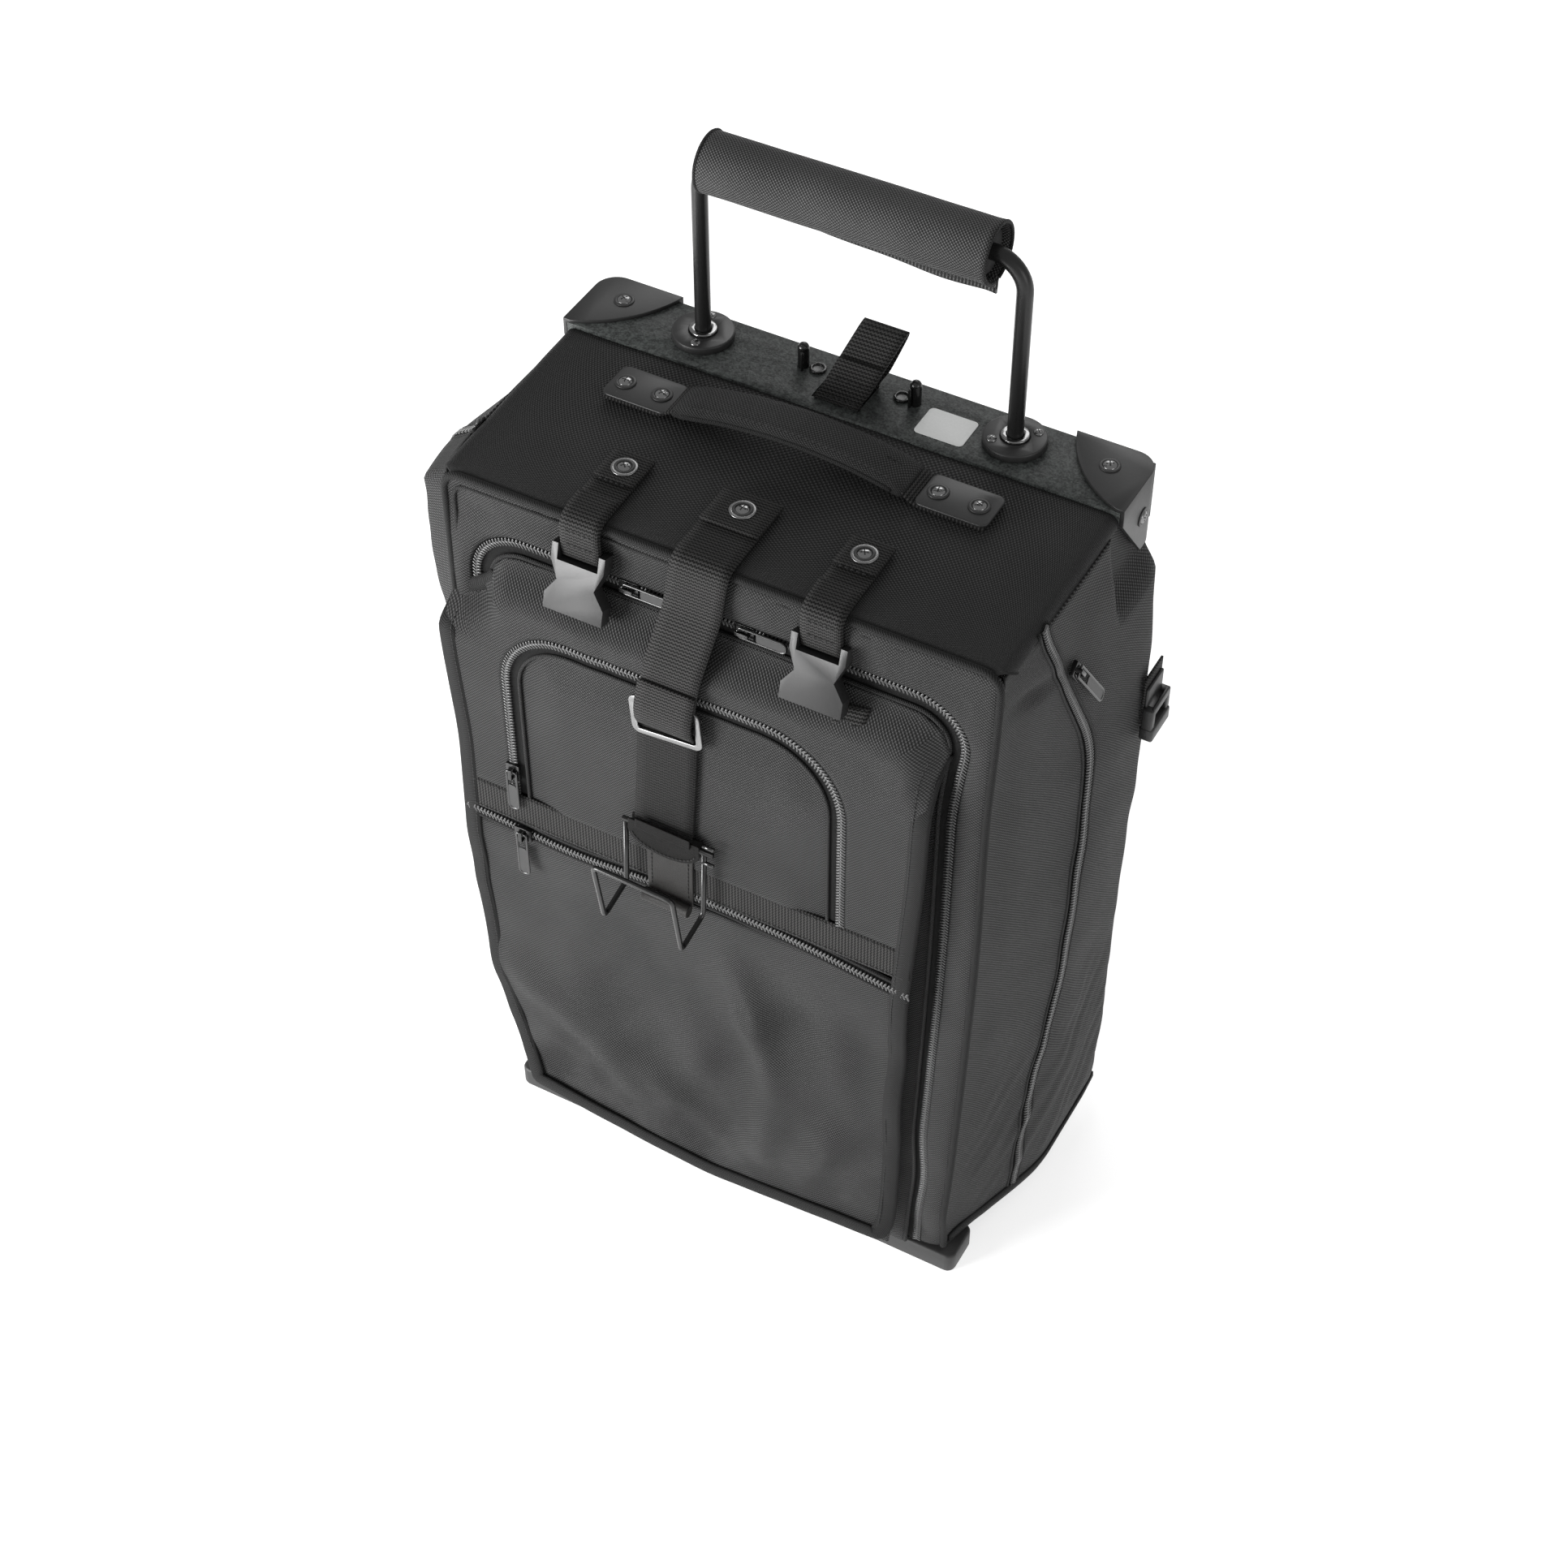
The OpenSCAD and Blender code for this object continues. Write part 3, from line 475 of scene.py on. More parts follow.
def wire(name, points, r, body, finish, closed=False, sides=2, **kw):
    curve = bpy.data.curves.new(name, "CURVE")
    curve.dimensions, curve.bevel_depth, curve.bevel_resolution = "3D", r, sides
    curve.use_fill_caps = not closed
    groups = points if isinstance(points[0], list) else [points]
    for group in groups:
        line = curve.splines.new("POLY")
        line.points.add(len(group) - 1)
        line.use_cyclic_u = closed
        for p, co in zip(line.points, group):
            p.co = (*co, 1)
    ob = bpy.data.objects.new(name, curve)
    bpy.context.collection.objects.link(ob)
    bpy.context.view_layer.update()
    mesh = bpy.data.meshes.new_from_object(ob.evaluated_get(bpy.context.evaluated_depsgraph_get()))
    bpy.data.objects.remove(ob)
    bm = bmesh.new()
    bm.from_mesh(mesh)
    bpy.data.meshes.remove(mesh)
    bmesh.ops.remove_doubles(bm, verts=bm.verts, dist=1e-6)
    bmesh.ops.recalc_face_normals(bm, faces=bm.faces)
    return keep(bm, name, body, finish, **kw)


def outline(bm, points):
    """flat face from corner points"""
    vs = [bm.verts.new(p) for p in points]
    bmesh.ops.contextual_create(bm, geom=[bm.edges.new((a, b)) for a, b in zip(vs, vs[1:] + vs[:1])])


def plate(points, thick, back):
    """outline in space made solid by moving it along back"""
    bm = bmesh.new()
    outline(bm, points)
    got = bmesh.ops.extrude_face_region(bm, geom=list(bm.faces), use_keep_orig=True)["geom"]
    move = [g for g in got if isinstance(g, bmesh.types.BMVert)]
    bmesh.ops.translate(bm, vec=Vector(back) * thick, verts=move)
    bmesh.ops.recalc_face_normals(bm, faces=bm.faces)
    return bm


def block(size, place, bm=None, bevel=0.0, segments=2):
    """box of a size at a place, with its edges bevelled"""
    bm = bm or bmesh.new()
    new = bmesh.ops.create_cube(bm, size=1.0)["verts"]
    bmesh.ops.scale(bm, vec=size, verts=new)
    bmesh.ops.translate(bm, vec=place, verts=new)
    if bevel:
        edges = list({e for v in new for e in v.link_edges})
        bmesh.ops.bevel(
            bm, geom=edges, offset=bevel, segments=segments, profile=0.5, affect="EDGES", material=-1
        )
    return bm


def repeat(unit, spots):
    """one mesh from many copies of a small one, each placed by a matrix"""
    mesh = bpy.data.meshes.new("unit")
    unit.to_mesh(mesh)
    unit.free()
    bm = bmesh.new()
    for spot in spots:
        start = len(bm.verts)
        bm.from_mesh(mesh)
        bm.verts.ensure_lookup_table()
        bmesh.ops.transform(bm, matrix=spot, verts=bm.verts[start:])
    bpy.data.meshes.remove(mesh)
    return bm


def turned(p, t, side, n, slant=0.0):
    m = Matrix((side, t, n)).transposed().to_4x4()
    return Matrix.Translation(p) @ m @ Matrix.Rotation(slant, 4, "Z")


def teeth_mesh(path, out):
    """two rows of moulded coils that meet along the middle of a path"""
    unit = block((0.0038, 0.0013, 0.0015), (0, 0, 0.0004), bevel=0.0003, segments=1)
    spots = []
    for p, t, side, n in frames(steps(path, 0.0024), out):
        spots += [turned(p + side * 0.0011 * q + t * 0.0005 * q, t, side, n, q * 0.42) for q in (-1, 1)]
    return repeat(unit, spots)


def stitches(name, path, out, body, pitch=0.0034, finish=None, thick=0.00065):
    unit = block((thick, pitch * 0.68, thick * 0.8), (0, 0, thick * 0.2), bevel=thick * 0.3, segments=1)
    rows = frames(steps(path, pitch), out)
    spots = [turned(*row) for row in rows[1:-1]]
    return keep(repeat(unit, spots), name, body, finish or thread)


print("helpers ready")

# %% [markdown]
# ## Where the walls are
# The hard frame already knows the size of the bag, so every measure below is
# read from one of its parts. Cloth never lies quite flat, so two helpers shape
# it: one blends softly between two values, the other gives gentle folds from
# noise that is the same on every run.
# %% Measures and folds
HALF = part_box("side_walls")[1].x
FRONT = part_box("front_frame")[0].y
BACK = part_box("back_board")[1].y
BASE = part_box("base_board")[0].z
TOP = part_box("top_panel")[1].z - 0.005
FRAME_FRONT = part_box("frame_plate")[0].y
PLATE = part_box("label_plate")[0].z
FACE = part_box("pocket_panels")[0].y
POCKET_LEFT, POCKET_RIGHT = (c.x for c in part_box("pocket_gusset"))
POCKET_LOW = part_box("pocket_gusset")[0].z
ZIP_X, ZIP_Z, ZIP_R = 0.157, 0.514, 0.034


def smooth(a, b, x):
    t = min(1.0, max(0.0, (x - a) / (b - a)))
    return t * t * (3 - 2 * t)


def folds(x, y, size, seed=0.0):
    """-1 to 1, slowly varying; x and y may be stretched before the call to turn or lengthen it"""
    return noise.noise(Vector((x / size + seed, y / size - seed, seed)))


def through(points, x, blur=0.0):
    """value on a bent line through points, its corners softened by averaging"""
    def at(x):
        for (a, fa), (b, fb) in zip(points, points[1:]):
            if x <= b:
                return fa + (fb - fa) * max(0.0, (x - a) / (b - a))
        return points[-1][1]

    return sum(at(x + blur * k / 3) for k in range(-3, 4)) / 7 if blur else at(x)


RIGHT_EDGE = [(BASE, -0.25), (0.04, -0.2), (0.11, 0.17), (0.21, 0.47), (0.32, 0.73), (0.44, 0.75), (0.52, 1.0)]
ZIP_LEG = [(0.013, -0.0045), (0.05, -0.0035), (0.095, -0.002), (0.136, -0.007), (0.219, -0.0065),
    (0.333, -0.006)]
ZIP_LEG += [(0.436, -0.0055), (0.49, 0.0)]


def slump(p):
    """a half-empty bag: the front draws in towards its foot, more at the left lower corner"""
    x, y, z = p
    near = 1 - smooth(-0.06, 0.05, y)
    side = smooth(0.1, HALF, abs(x)) * near
    if x > 0:
        foot = 0.008 * smooth(0.14, 0.172, x) * smooth(0.07, BASE, z) * near
        leg = through(ZIP_LEG, z, 0.012) * smooth(0.125, 0.155, x) * (1 - smooth(0.16, 0.175, x)) * near
        return Vector((x - 0.013 * side * (1 - through(RIGHT_EDGE, z, 0.03)) + leg, y + foot, z + foot * 0.6))
    pull = 0.02 * smooth(0.2, BASE, z) * side + 0.006 * side * smooth(0.46, 0.36, z)
    lift = 0.022 * smooth(0.075, BASE, z) * smooth(-0.11, -0.17, x) * near
    return Vector((x + pull, y + pull * 0.6, z + lift))


print("walls", round(HALF, 4), round(FRONT, 4), round(BACK, 4), "top", round(TOP, 4))

# %% [markdown]
# ## Top cover
# The lid is cloth over a board, padded at its edges, so it stands a little
# proud of the sides and leaves a deep groove there. It is one patch: points are
# crowded towards the edges, where the surface turns down in a quarter circle.
# %% Top cover
EDGE = HALF + 0.0035
ROLL = 0.0065


def rolled(distance, r=ROLL):
    """how far the surface has dropped at a distance from its edge"""
    d = max(0.0, min(r, distance))
    return r - math.sqrt(max(0.0, r * r - (r - d) ** 2))


def top_height(x, y):
    rise = 0.005 * (y - FRONT) / (FRAME_FRONT - FRONT)
    crown = 0.0008 * math.cos(math.pi * x / (2 * EDGE))
    return TOP + rise + 0.0006 + crown + 0.0005 * folds(x, y * 1.6, 0.045, 3.1)


def top_place(u, v):
    x = EDGE * math.sin(math.pi / 2 * (2 * u - 1))
    front = FRONT - 0.0015
    y = front + (FRAME_FRONT - 0.0003 - front) * (1 - math.cos(math.pi / 2 * v))
    corner = 0.012
    cut = max(0.0, abs(x) - (EDGE - corner))
    y = max(y, front + corner - math.sqrt(max(0.0, corner ** 2 - cut ** 2))) if y < 0 else y
    z = top_height(x, y) - rolled(EDGE - abs(x)) - rolled(y - front, 0.004)
    return Vector((x, y, z))


keep(patch(110, 60, top_place), "top_cover", "bag", cloth, thick=0.002, replaces=["top_panel"])
print("top cover to", round(EDGE, 4))

# %% [markdown]
# ## Sides and side pockets
# Each side is a padded pocket that swells towards the back and runs out at the
# top. How far it stands out is the lesser of two bent lines, one in plan and
# one in height, blended where they meet. The zip path cuts the side into a
# front and a rear part, so each part is its own patch with an edge on the zip.
# %% Side surface
SWELL = 0.023
PLAN = [(-0.06, 0), (-0.03, 0.28), (0.015, 0.45), (0.03, 0.58), (0.052, 0.85), (0.075, 1), (0.1, 1),
    (0.112, 0.8), (0.118, 0.3)]
RISE = [(BASE, 0.35), (0.03, 0.5), (0.08, 0.64), (0.2, 0.66), (0.28, 0.85), (0.36, 1.05), (0.43, 0.95),
    (0.5, 0.55), (0.545, 0.18)]
SIDE_ZIP = [(0.004, BASE + 0.002), (0.012, 0.13), (0.03, 0.21), (0.034, 0.3), (0.036, 0.42), (-0.026, 0.552)]


def side_out(y, z):
    a, b = through(PLAN, y, 0.01), through(RISE, z, 0.012)
    blend = max(0.3 - abs(a - b), 0) / 0.3
    least = min(a, b) - blend * blend * 0.075
    swell = SWELL * max(0.0, least)
    near_cap = smooth(0.485, 0.508, z) * smooth(0.058, 0.07, y)
    swell *= 1 - near_cap * 0.93
    loose = smooth(BASE, 0.06, z) * (1 - smooth(0.5, 0.54, z)) * smooth(FRONT, -0.03, y)
    crease = folds(y * 0.7 + z * 0.5, z * 0.25 - y * 0.4, 0.022, 5.3) * 0.0014
    low = folds(y * 1.1 - z * 0.9, (y + z) * 0.2, 0.016, 8.7) * 0.0016 * (1 - smooth(0.1, 0.24, z))
    tuck = -0.004 * math.exp(-(((z - 0.513 + 0.25 * (y + 0.045)) / 0.006) ** 2) - ((y + 0.03) / 0.02) ** 2)
    return max(0.0006, swell + (crease + low) * loose + tuck * (1 - near_cap))


def zip_y(z):
    return through([(z, y) for y, z in SIDE_ZIP], z, 0.02)


def side_point(y, z):
    return Vector((HALF + side_out(y, z), y, z))


def side_front(u, v):
    z = BASE + (TOP - 0.0035 - BASE) * v
    edge = max(FRONT + 0.004, zip_y(z) - 0.0055)
    return side_point(FRONT + 0.001 + (edge - FRONT - 0.001) * u, z)


def side_rear(u, v):
    z = BASE + (TOP - 0.002 - BASE) * v
    start = min(zip_y(z) + 0.0055, BACK - 0.02)
    return side_point(start + (BACK + 0.0006 - start) * u, z)


def bulge(p):
    """the left pocket is stuffed at its upper front, and its cloth buckles below that"""
    x, y, z = p
    full = smooth(0.31, 0.48, z) * (1 - smooth(0.526, 0.551, z))
    kink = math.exp(-(((z - 0.352) / 0.014) ** 2))
    near = smooth(FRONT, -0.054, y) * (1 - smooth(-0.03, 0.09, y))
    return Vector((x - (0.021 * full + 0.008 * kink) * near, y, z))


def both_sides(bm_of, name, finish, replaces=None, **kw):
    """makes a right piece and its mirror; both draw in at the foot, and the left one bulges"""
    for side in ("right", "left"):
        bm = bm_of()
        if side == "left":
            flip_x(bm)
        for p in bm.verts:
            p.co = bulge(slump(p.co)) if side == "left" else slump(p.co)
        keep(bm, name + "_" + side, "bag", finish, replaces=(replaces or {}).get(side, ()), **kw)


both_sides(
    lambda: patch(44, 130, side_front), "side_pocket_front", cloth, {"right": ["side_walls"]}, thick=0.0016
)
both_sides(
    lambda: patch(40, 130, side_rear), "side_pocket_rear", cloth, {"right": ["side_pockets"]}, thick=0.0016
)
print("side pockets stand out", round(side_out(0.07, 0.2), 4))

# %% [markdown]
# ## Side zips
# A zip is a woven tape with two rows of moulded teeth down its middle. On the
# bag the cloth is folded back along each side of the teeth and stitched down,
# so a narrow cord-like lip shows. The path is walked on the pocket's surface
# and the outward direction is worked out from the surface there.
# %% Side zips
def side_normal(p):
    y, z = p.y, p.z
    h = 0.004
    dy = (side_out(y + h, z) - side_out(y - h, z)) / (2 * h)
    dz = (side_out(y, z + h) - side_out(y, z - h)) / (2 * h)
    return Vector((1, -dy, -dz)).normalized()


def side_zip_path(shift=0.0, lift=0.0):
    zs = [BASE + 0.001 + (0.549 - BASE) * k / 150 for k in range(151)]
    return [side_point(zip_y(z) + shift, z) + Vector((lift, 0, 0)) for z in zs]


def zip_parts(path_of, out, name, make, width=0.012, lip=0.0012):
    make(lambda: ribbon(path_of(0, -0.0008), width, out, gap=0.004, across=4), name + "_tape", zip_cloth,
        0.0006)
    for k, shift in enumerate((-width / 2 + 0.0008, width / 2 - 0.0008)):
        make(
            lambda shift=shift: sweep(path_of(shift, -0.0003), circle(lip, 8), out, closed=True, gap=0.005),
            name + "_lip_" + "ab"[k], cloth_fine, 0,
        )


def make_both(bm_of, name, finish, thick):
    both_sides(bm_of, name, finish, {"right": ["side_zips"]}, thick=thick)


zip_parts(side_zip_path, side_normal, "side_zip", make_both)
both_sides(lambda: teeth_mesh(side_zip_path(0, 0.0002), side_normal), "side_zip_teeth", tooth_plastic)
print("side zips laid")

# %% [markdown]
# ## Front of the body
# The front wall opens with a long U-shaped zip. Round the outside of the zip
# lies a framing panel; its patch runs along the U, and each point is somewhere
# between the zip and the edge of the wall. The flap inside the U is a second
# patch, whose width at each height follows the same rounded corners.
# %% The U shape
def u_path(grow=0.0, low=BASE + 0.001, gap=0.006):
    """points (x, z) and outward directions along the U, left foot to right foot"""
    x, z, r = ZIP_X + grow, ZIP_Z + grow, ZIP_R + grow
    out = []
    n = round((z - r - low) / gap)
    out += [((-x, low + (z - r - low) * k / n), (-1, 0)) for k in range(n)]
    arc = [math.pi - math.pi / 2 * k / 10 for k in range(11)]
    out += [((-x + r + r * math.cos(a), z - r + r * math.sin(a)), (math.cos(a), math.sin(a))) for a in arc]
    m = round(2 * (x - r) / gap)
    out += [((-x + r + 2 * (x - r) * k / m, z), (0, 1)) for k in range(1, m)]
    mirrored = [((-p[0], p[1]), (-d[0], d[1])) for p, d in reversed(out[: n + 11])]
    return out + mirrored


def u_half(z, grow=0.0):
    """half the width of the U at a height"""
    x, top, r = ZIP_X + grow, ZIP_Z + grow, ZIP_R + grow
    if z <= top - r:
        return x
    return x - r + math.sqrt(max(0.0, r * r - (z - top + r) ** 2))


def u_line(grow=0.0, y=FRONT, gap=0.006):
    return [slump(Vector((p[0], y, p[1]))) for p, _ in u_path(grow, gap=gap)]


RING = u_path(0.0042)
WALL_X, WALL_Z = HALF - 0.001, TOP - 0.0025


def frame_place(u, v):
    (x, z), (dx, dz) = RING[round(v * (len(RING) - 1))]
    reach = min([(WALL_X - abs(x)) / abs(dx)] if abs(dx) > 1e-6 else [9])
    if dz > 1e-6:
        reach = min(reach, (WALL_Z - z) / dz)
    x, z = x + dx * reach * u, z + dz * reach * u
    hump = math.sin(math.pi * u) ** 0.7
    top = smooth(0.5, 0.53, z)
    ripple = folds(x * 1.8, z * 0.35, 0.014, 1.3) * 0.0018 * top + folds(x * 0.6, z, 0.03, 2.2) * 0.0012
    y = FRONT - 0.0012 - hump * (0.002 + ripple) + 0.003 * math.sin(math.pi * u) * top * (x < 0)
    return slump(Vector((x, y, z)))


keep(
    patch(12, len(RING) - 1, frame_place, front=True), "front_band", "bag", cloth, thick=0.0016,
        replaces=["front_frame"]
)


def flap_place(u, v):
    z = BASE + 0.001 + (ZIP_Z - 0.0095 - BASE - 0.001) * v
    half = u_half(z, -0.0095)
    x = half * (2 * u - 1)
    return slump(Vector((x, FRONT - 0.0012 - 0.0006 * folds(x, z, 0.03, 4.4), z)))


keep(patch(60, 90, flap_place, front=True), "front_flap_cloth", "bag", cloth, thick=0.0014,
    replaces=["front_flap"])
print("front band along", len(RING), "stations")

# %% [markdown]
# ## Main zip and corded edges
# Inside the teeth the tape lies open as a smooth twill strip; outside, the
# framing panel nearly covers it. A fat cord sewn into the seam runs round the
# front of the bag. It is a circle swept along the edge, with a thin flange.
# %% Main zip, cords
ahead = (0, -1, 0)


# The main zip's tape is near black: partly its own colour, partly painted shade.
keep(
    ribbon(u_line(-0.0035, FRONT - 0.0002), 0.0145, ahead, across=4), "main_zip_tape", "bag", zip_smooth_painted_shade,
    thick=0.0006, replaces=["main_zip"],
)
keep(teeth_mesh(u_line(0, FRONT - 0.001, 0.004), ahead), "main_zip_teeth", "bag", tooth_plastic)
keep(
    sweep(u_line(-0.0098, FRONT - 0.0015), circle(0.0014, 8), ahead, closed=True), "flap_edge_cord", "bag",
        cloth_fine
)
keep(
    sweep(u_line(0.0046, FRONT - 0.0014), circle(0.0014, 8), ahead, closed=True), "band_edge_cord", "bag",
        cloth_fine
)
CORD_R = 0.0023
edge = [(-HALF, BASE), (-HALF, TOP - 0.001), (HALF, TOP - 0.001), (HALF, BASE)]
edge_path = rounded([(x, FRONT - 0.0022, z) for x, z in edge], 0.012)
edge_path = [slump(p) for p in steps(edge_path, 0.005)]
keep(
    sweep(edge_path, circle(CORD_R, 10), ahead, closed=True), "front_piping", "bag", bind_cloth,
        replaces=["piping"]
)
inner = [(-HALF + 0.0062, BASE), (-HALF + 0.0062, TOP - 0.0072), (HALF - 0.0062, TOP - 0.0072),
    (HALF - 0.0062, BASE)]
seam = [slump(p) for p in steps(rounded([(x, FRONT - 0.0026, z) for x, z in inner], 0.01), 0.005)]
keep(sweep(seam, circle(0.0013, 8), ahead, closed=True), "front_seam_ridge", "bag", cloth_fine)
print("cord runs", round(sum((b - a).length for a, b in zip(edge_path, edge_path[1:])), 2), "m")

# %% [markdown]
# ## Back and base
# The back is a cloth-covered board, nearly flat, with gaps at its lower corners
# for the wheels. The base is the same, seen only from below. Both are simple
# patches; three of them make the back, because a patch has four sides.
# %% Back and base
WELL_X, WELL_Z, WELL_Y = 0.1285, 0.0945, 0.034


def back_part(x1, x2, z1, z2):
    def place(u, v):
        x, z = x2 + (x1 - x2) * u, z1 + (z2 - z1) * v
        crown = 0.0012 * math.cos(math.pi * x / (2.1 * HALF)) + 0.0005 * folds(x, z, 0.05, 6.6)
        return Vector((x, BACK + 0.0004 + crown, z))

    return lambda: patch(max(8, round((x2 - x1) / 0.006)), 60, place)


keep(back_part(-WELL_X, WELL_X, BASE, 0.5545)(), "back_cloth", "bag", cloth, thick=0.001,
    replaces=["back_board"])
for side, x1, x2 in (("right", WELL_X, HALF), ("left", -HALF, -WELL_X)):
    keep(back_part(x1, x2, WELL_Z, 0.5545)(), "back_cloth_" + side, "bag", cloth, thick=0.001)


def base_part(x1, x2, y2):
    def place(u, v):
        x, y = x1 + (x2 - x1) * u, y2 + (FRONT + 0.001 - y2) * v
        return slump(Vector((x, y, BASE - 0.0002)))

    return patch(max(6, round((x2 - x1) / 0.01)), 20, place)


keep(base_part(-WELL_X, WELL_X, BACK), "base_cloth", "bag", cloth_fine, thick=0.001, replaces=["base_board"])
for side, x1, x2 in (("right", WELL_X, HALF), ("left", -HALF, -WELL_X)):
    keep(base_part(x1, x2, WELL_Y), "base_cloth_" + side, "bag", cloth_fine, thick=0.001)
rim = [side_point(y, BASE + 0.002) for y in [FRONT + 0.002 + 0.018 * k for k in range(11)]]
both_sides(
    lambda: sweep(rim, [(-0.005, 0.0), (-0.0045, 0.0012), (0, 0.0018), (0.0045, 0.0012), (0.005, 0)],
        side_normal),
    "base_binding", bind_cloth, thick=0.001,
)
print("back and base covered")

# %% [markdown]
# ## The outer pocket's surface
# Everything on the outer pocket lies on one soft surface, so that surface is a
# single function of x and z. At the top it rolls back into the body under the
# main zip; below the middle zip it sags in broad slanting folds. Panels, zips,
# band and binding all ask the same function how far forward they lie.
# %% Pocket surface
ROLL_DEEP = 0.026
BAND_LOW, BAND_HIGH = 0.300, 0.326
LOW_ZIP = 0.293
D_LEFT, D_RIGHT, D_TOP, D_RL, D_RR = -0.131, 0.090, 0.465, 0.044, 0.052
LEFT_EDGE = [(0.02, -0.140), (0.036, -0.1430), (0.082, -0.1585), (0.137, -0.168), (0.21, -0.174)]
LEFT_EDGE += [(0.28, -0.1705), (0.36, -0.1685), (0.392, -0.171), (0.436, -0.174)]
RIGHT_LINE = [(0.02, 0.1275), (0.15, 0.1280), (0.232, 0.1305), (0.31, 0.135), (0.383, 0.140), (0.449, 0.142)]
LOW_LINE = [(-0.14, 0.036), (-0.1, 0.0315), (-0.065, 0.029), (-0.005, 0.024), (0.05, 0.028), (0.13, 0.033)]


def u_top(x, grow=-0.0105):
    """height of the U's upper line at x"""
    flat = ZIP_X - ZIP_R
    over = max(0.0, abs(x) - flat)
    r = ZIP_R + grow
    return ZIP_Z + grow - r + math.sqrt(max(0.0, r * r - min(over, r) ** 2))


CREASES = (
    (0.012, 0.276, 0.036, 0.150, 0.013, 0.0075), (0.040, 0.150, 0.030, 0.045, 0.014, 0.0050),
    (0.070, 0.262, 0.098, 0.120, 0.018, 0.0045), (-0.150, 0.150, -0.040, 0.062, 0.020, 0.0060),
    (-0.120, 0.255, -0.090, 0.120, 0.024, 0.0035), (-0.030, 0.230, -0.012, 0.110, 0.016, 0.0030),
    (0.085, 0.120, 0.060, 0.040, 0.012, 0.0040), (-0.060, 0.105, 0.010, 0.050, 0.012, 0.0035),
)


def creases(x, z):
    """long soft ridges, each from one point to another, with a width and a height"""
    total = 0.0
    for x1, z1, x2, z2, wide, high in CREASES:
        way = Vector((x2 - x1, z2 - z1))
        t = (Vector((x - x1, z - z1)).dot(way)) / way.length_squared
        off = abs((x - x1) * way.y - (z - z1) * way.x) / way.length
        total += high * math.exp(-((off / wide) ** 2)) * smooth(-0.25, 0.2, t) * (1 - smooth(0.75, 1.25, t))
    return total


def face_y(x, z):
    down = 1 - (u_top(x) - z) / ROLL_DEEP
    right = (1 - (ZIP_X - 0.0105 - x) / 0.02) * smooth(0.425, 0.480, z)
    left = (1 - (x + ZIP_X - 0.0105) / 0.016) * smooth(0.44, 0.485, z)
    back = max(smooth(0, 1, down), smooth(0, 1, right), smooth(0, 1, left))
    y = FACE + (FRONT - 0.0018 - FACE) * back
    upper = smooth(0.44, 0.5, z)
    y -= upper * (1 - back) * folds(x * 1.5, z * 0.5 + x * 0.4, 0.018, 7.7) * 0.0016
    lower = smooth(LOW_ZIP - 0.012, 0.2, z) * smooth(POCKET_LOW, 0.07, z)
    broad = folds(x * 1.3 + z * 0.55, z * 0.6 - x * 0.35, 0.075, 2.35)
    slant = folds(x * 1.1 - z * 0.75, (x + z) * 0.3, 0.034, 9.1)
    y += lower * (0.0085 + broad * 0.008 + slant * 0.003 - creases(x, z) * 1.25)
    y = max(y, FACE - 0.0015) if lower > 0 else y
    d = smooth(BAND_HIGH, 0.36, z) * (1 - smooth(0.41, 0.45, z)) * (1 - smooth(0.05, 0.085,
        x)) * smooth(-0.125, -0.09, x)
    y += d * folds(x, z * 0.6, 0.05, 3.3) * 0.0016
    return y


def on_face(x, z, lift=0.0):
    return Vector((x, face_y(x, z) - lift, z))


def pocket_span(z):
    """left and right edge of the pocket at a height"""
    wide = smooth(0.462, 0.484, z)
    half = u_half(z, -0.0105)
    left, right = through(LEFT_EDGE, z, 0.014), through(RIGHT_LINE, z, 0.014)
    return left + (max(-half, -ZIP_X) - left) * wide, right + (half - right) * wide


def d_path(grow=0.0, gap=0.005):
    """points (x, z) and outward directions along the D, left foot to right foot"""
    left, right, top, rl, rr = D_LEFT - grow, D_RIGHT + grow, D_TOP + grow, D_RL + grow, D_RR + grow
    out, n = [], round((top - rl - BAND_HIGH) / gap)
    out += [((left, BAND_HIGH + (top - rl - BAND_HIGH) * k / n), (-1, 0)) for k in range(n)]
    for cx, r, a1, a2 in ((left + rl, rl, math.pi, math.pi / 2), (right - rr, rr, math.pi / 2, 0)):
        for k in range(15):
            a = a1 + (a2 - a1) * k / 14
            out.append(((cx + r * math.cos(a), top - r + r * math.sin(a)), (math.cos(a), math.sin(a))))
        if a2:
            m = round((right - rr - left - rl) / gap)
            out += [((left + rl + (right - rr - left - rl) * k / m, top), (0, 1)) for k in range(1, m)]
    n = round((top - rr - BAND_HIGH) / gap)
    out += [((right, top - rr - (top - rr - BAND_HIGH) * k / n), (1, 0)) for k in range(1, n + 1)]
    return out


def d_line(grow=0.0, lift=0.0, gap=0.005):
    return [on_face(p[0], p[1], lift) for p, _ in d_path(grow, gap)]


def d_span(z, grow):
    left, right, top, rl, rr = D_LEFT - grow, D_RIGHT + grow, D_TOP + grow, D_RL + grow, D_RR + grow
    up = max(0.0, z - top + rl)
    low = left + rl - math.sqrt(max(0.0, rl * rl - min(up, rl) ** 2))
    up = max(0.0, z - top + rr)
    return low, right - rr + math.sqrt(max(0.0, rr * rr - min(up, rr) ** 2))


print("pocket from", round(POCKET_LEFT, 3), "to", round(POCKET_RIGHT, 3))

# %% [markdown]
# ## Pocket panels
# Four panels make the pocket's face: the surround of the D-shaped zip, the
# domed D panel itself, a webbing band, and the large lower panel. The surround
# is a patch that runs along the D, from the zip out to the pocket's own edge.
# %% Pocket panels
D_RING = d_path(0.0035)


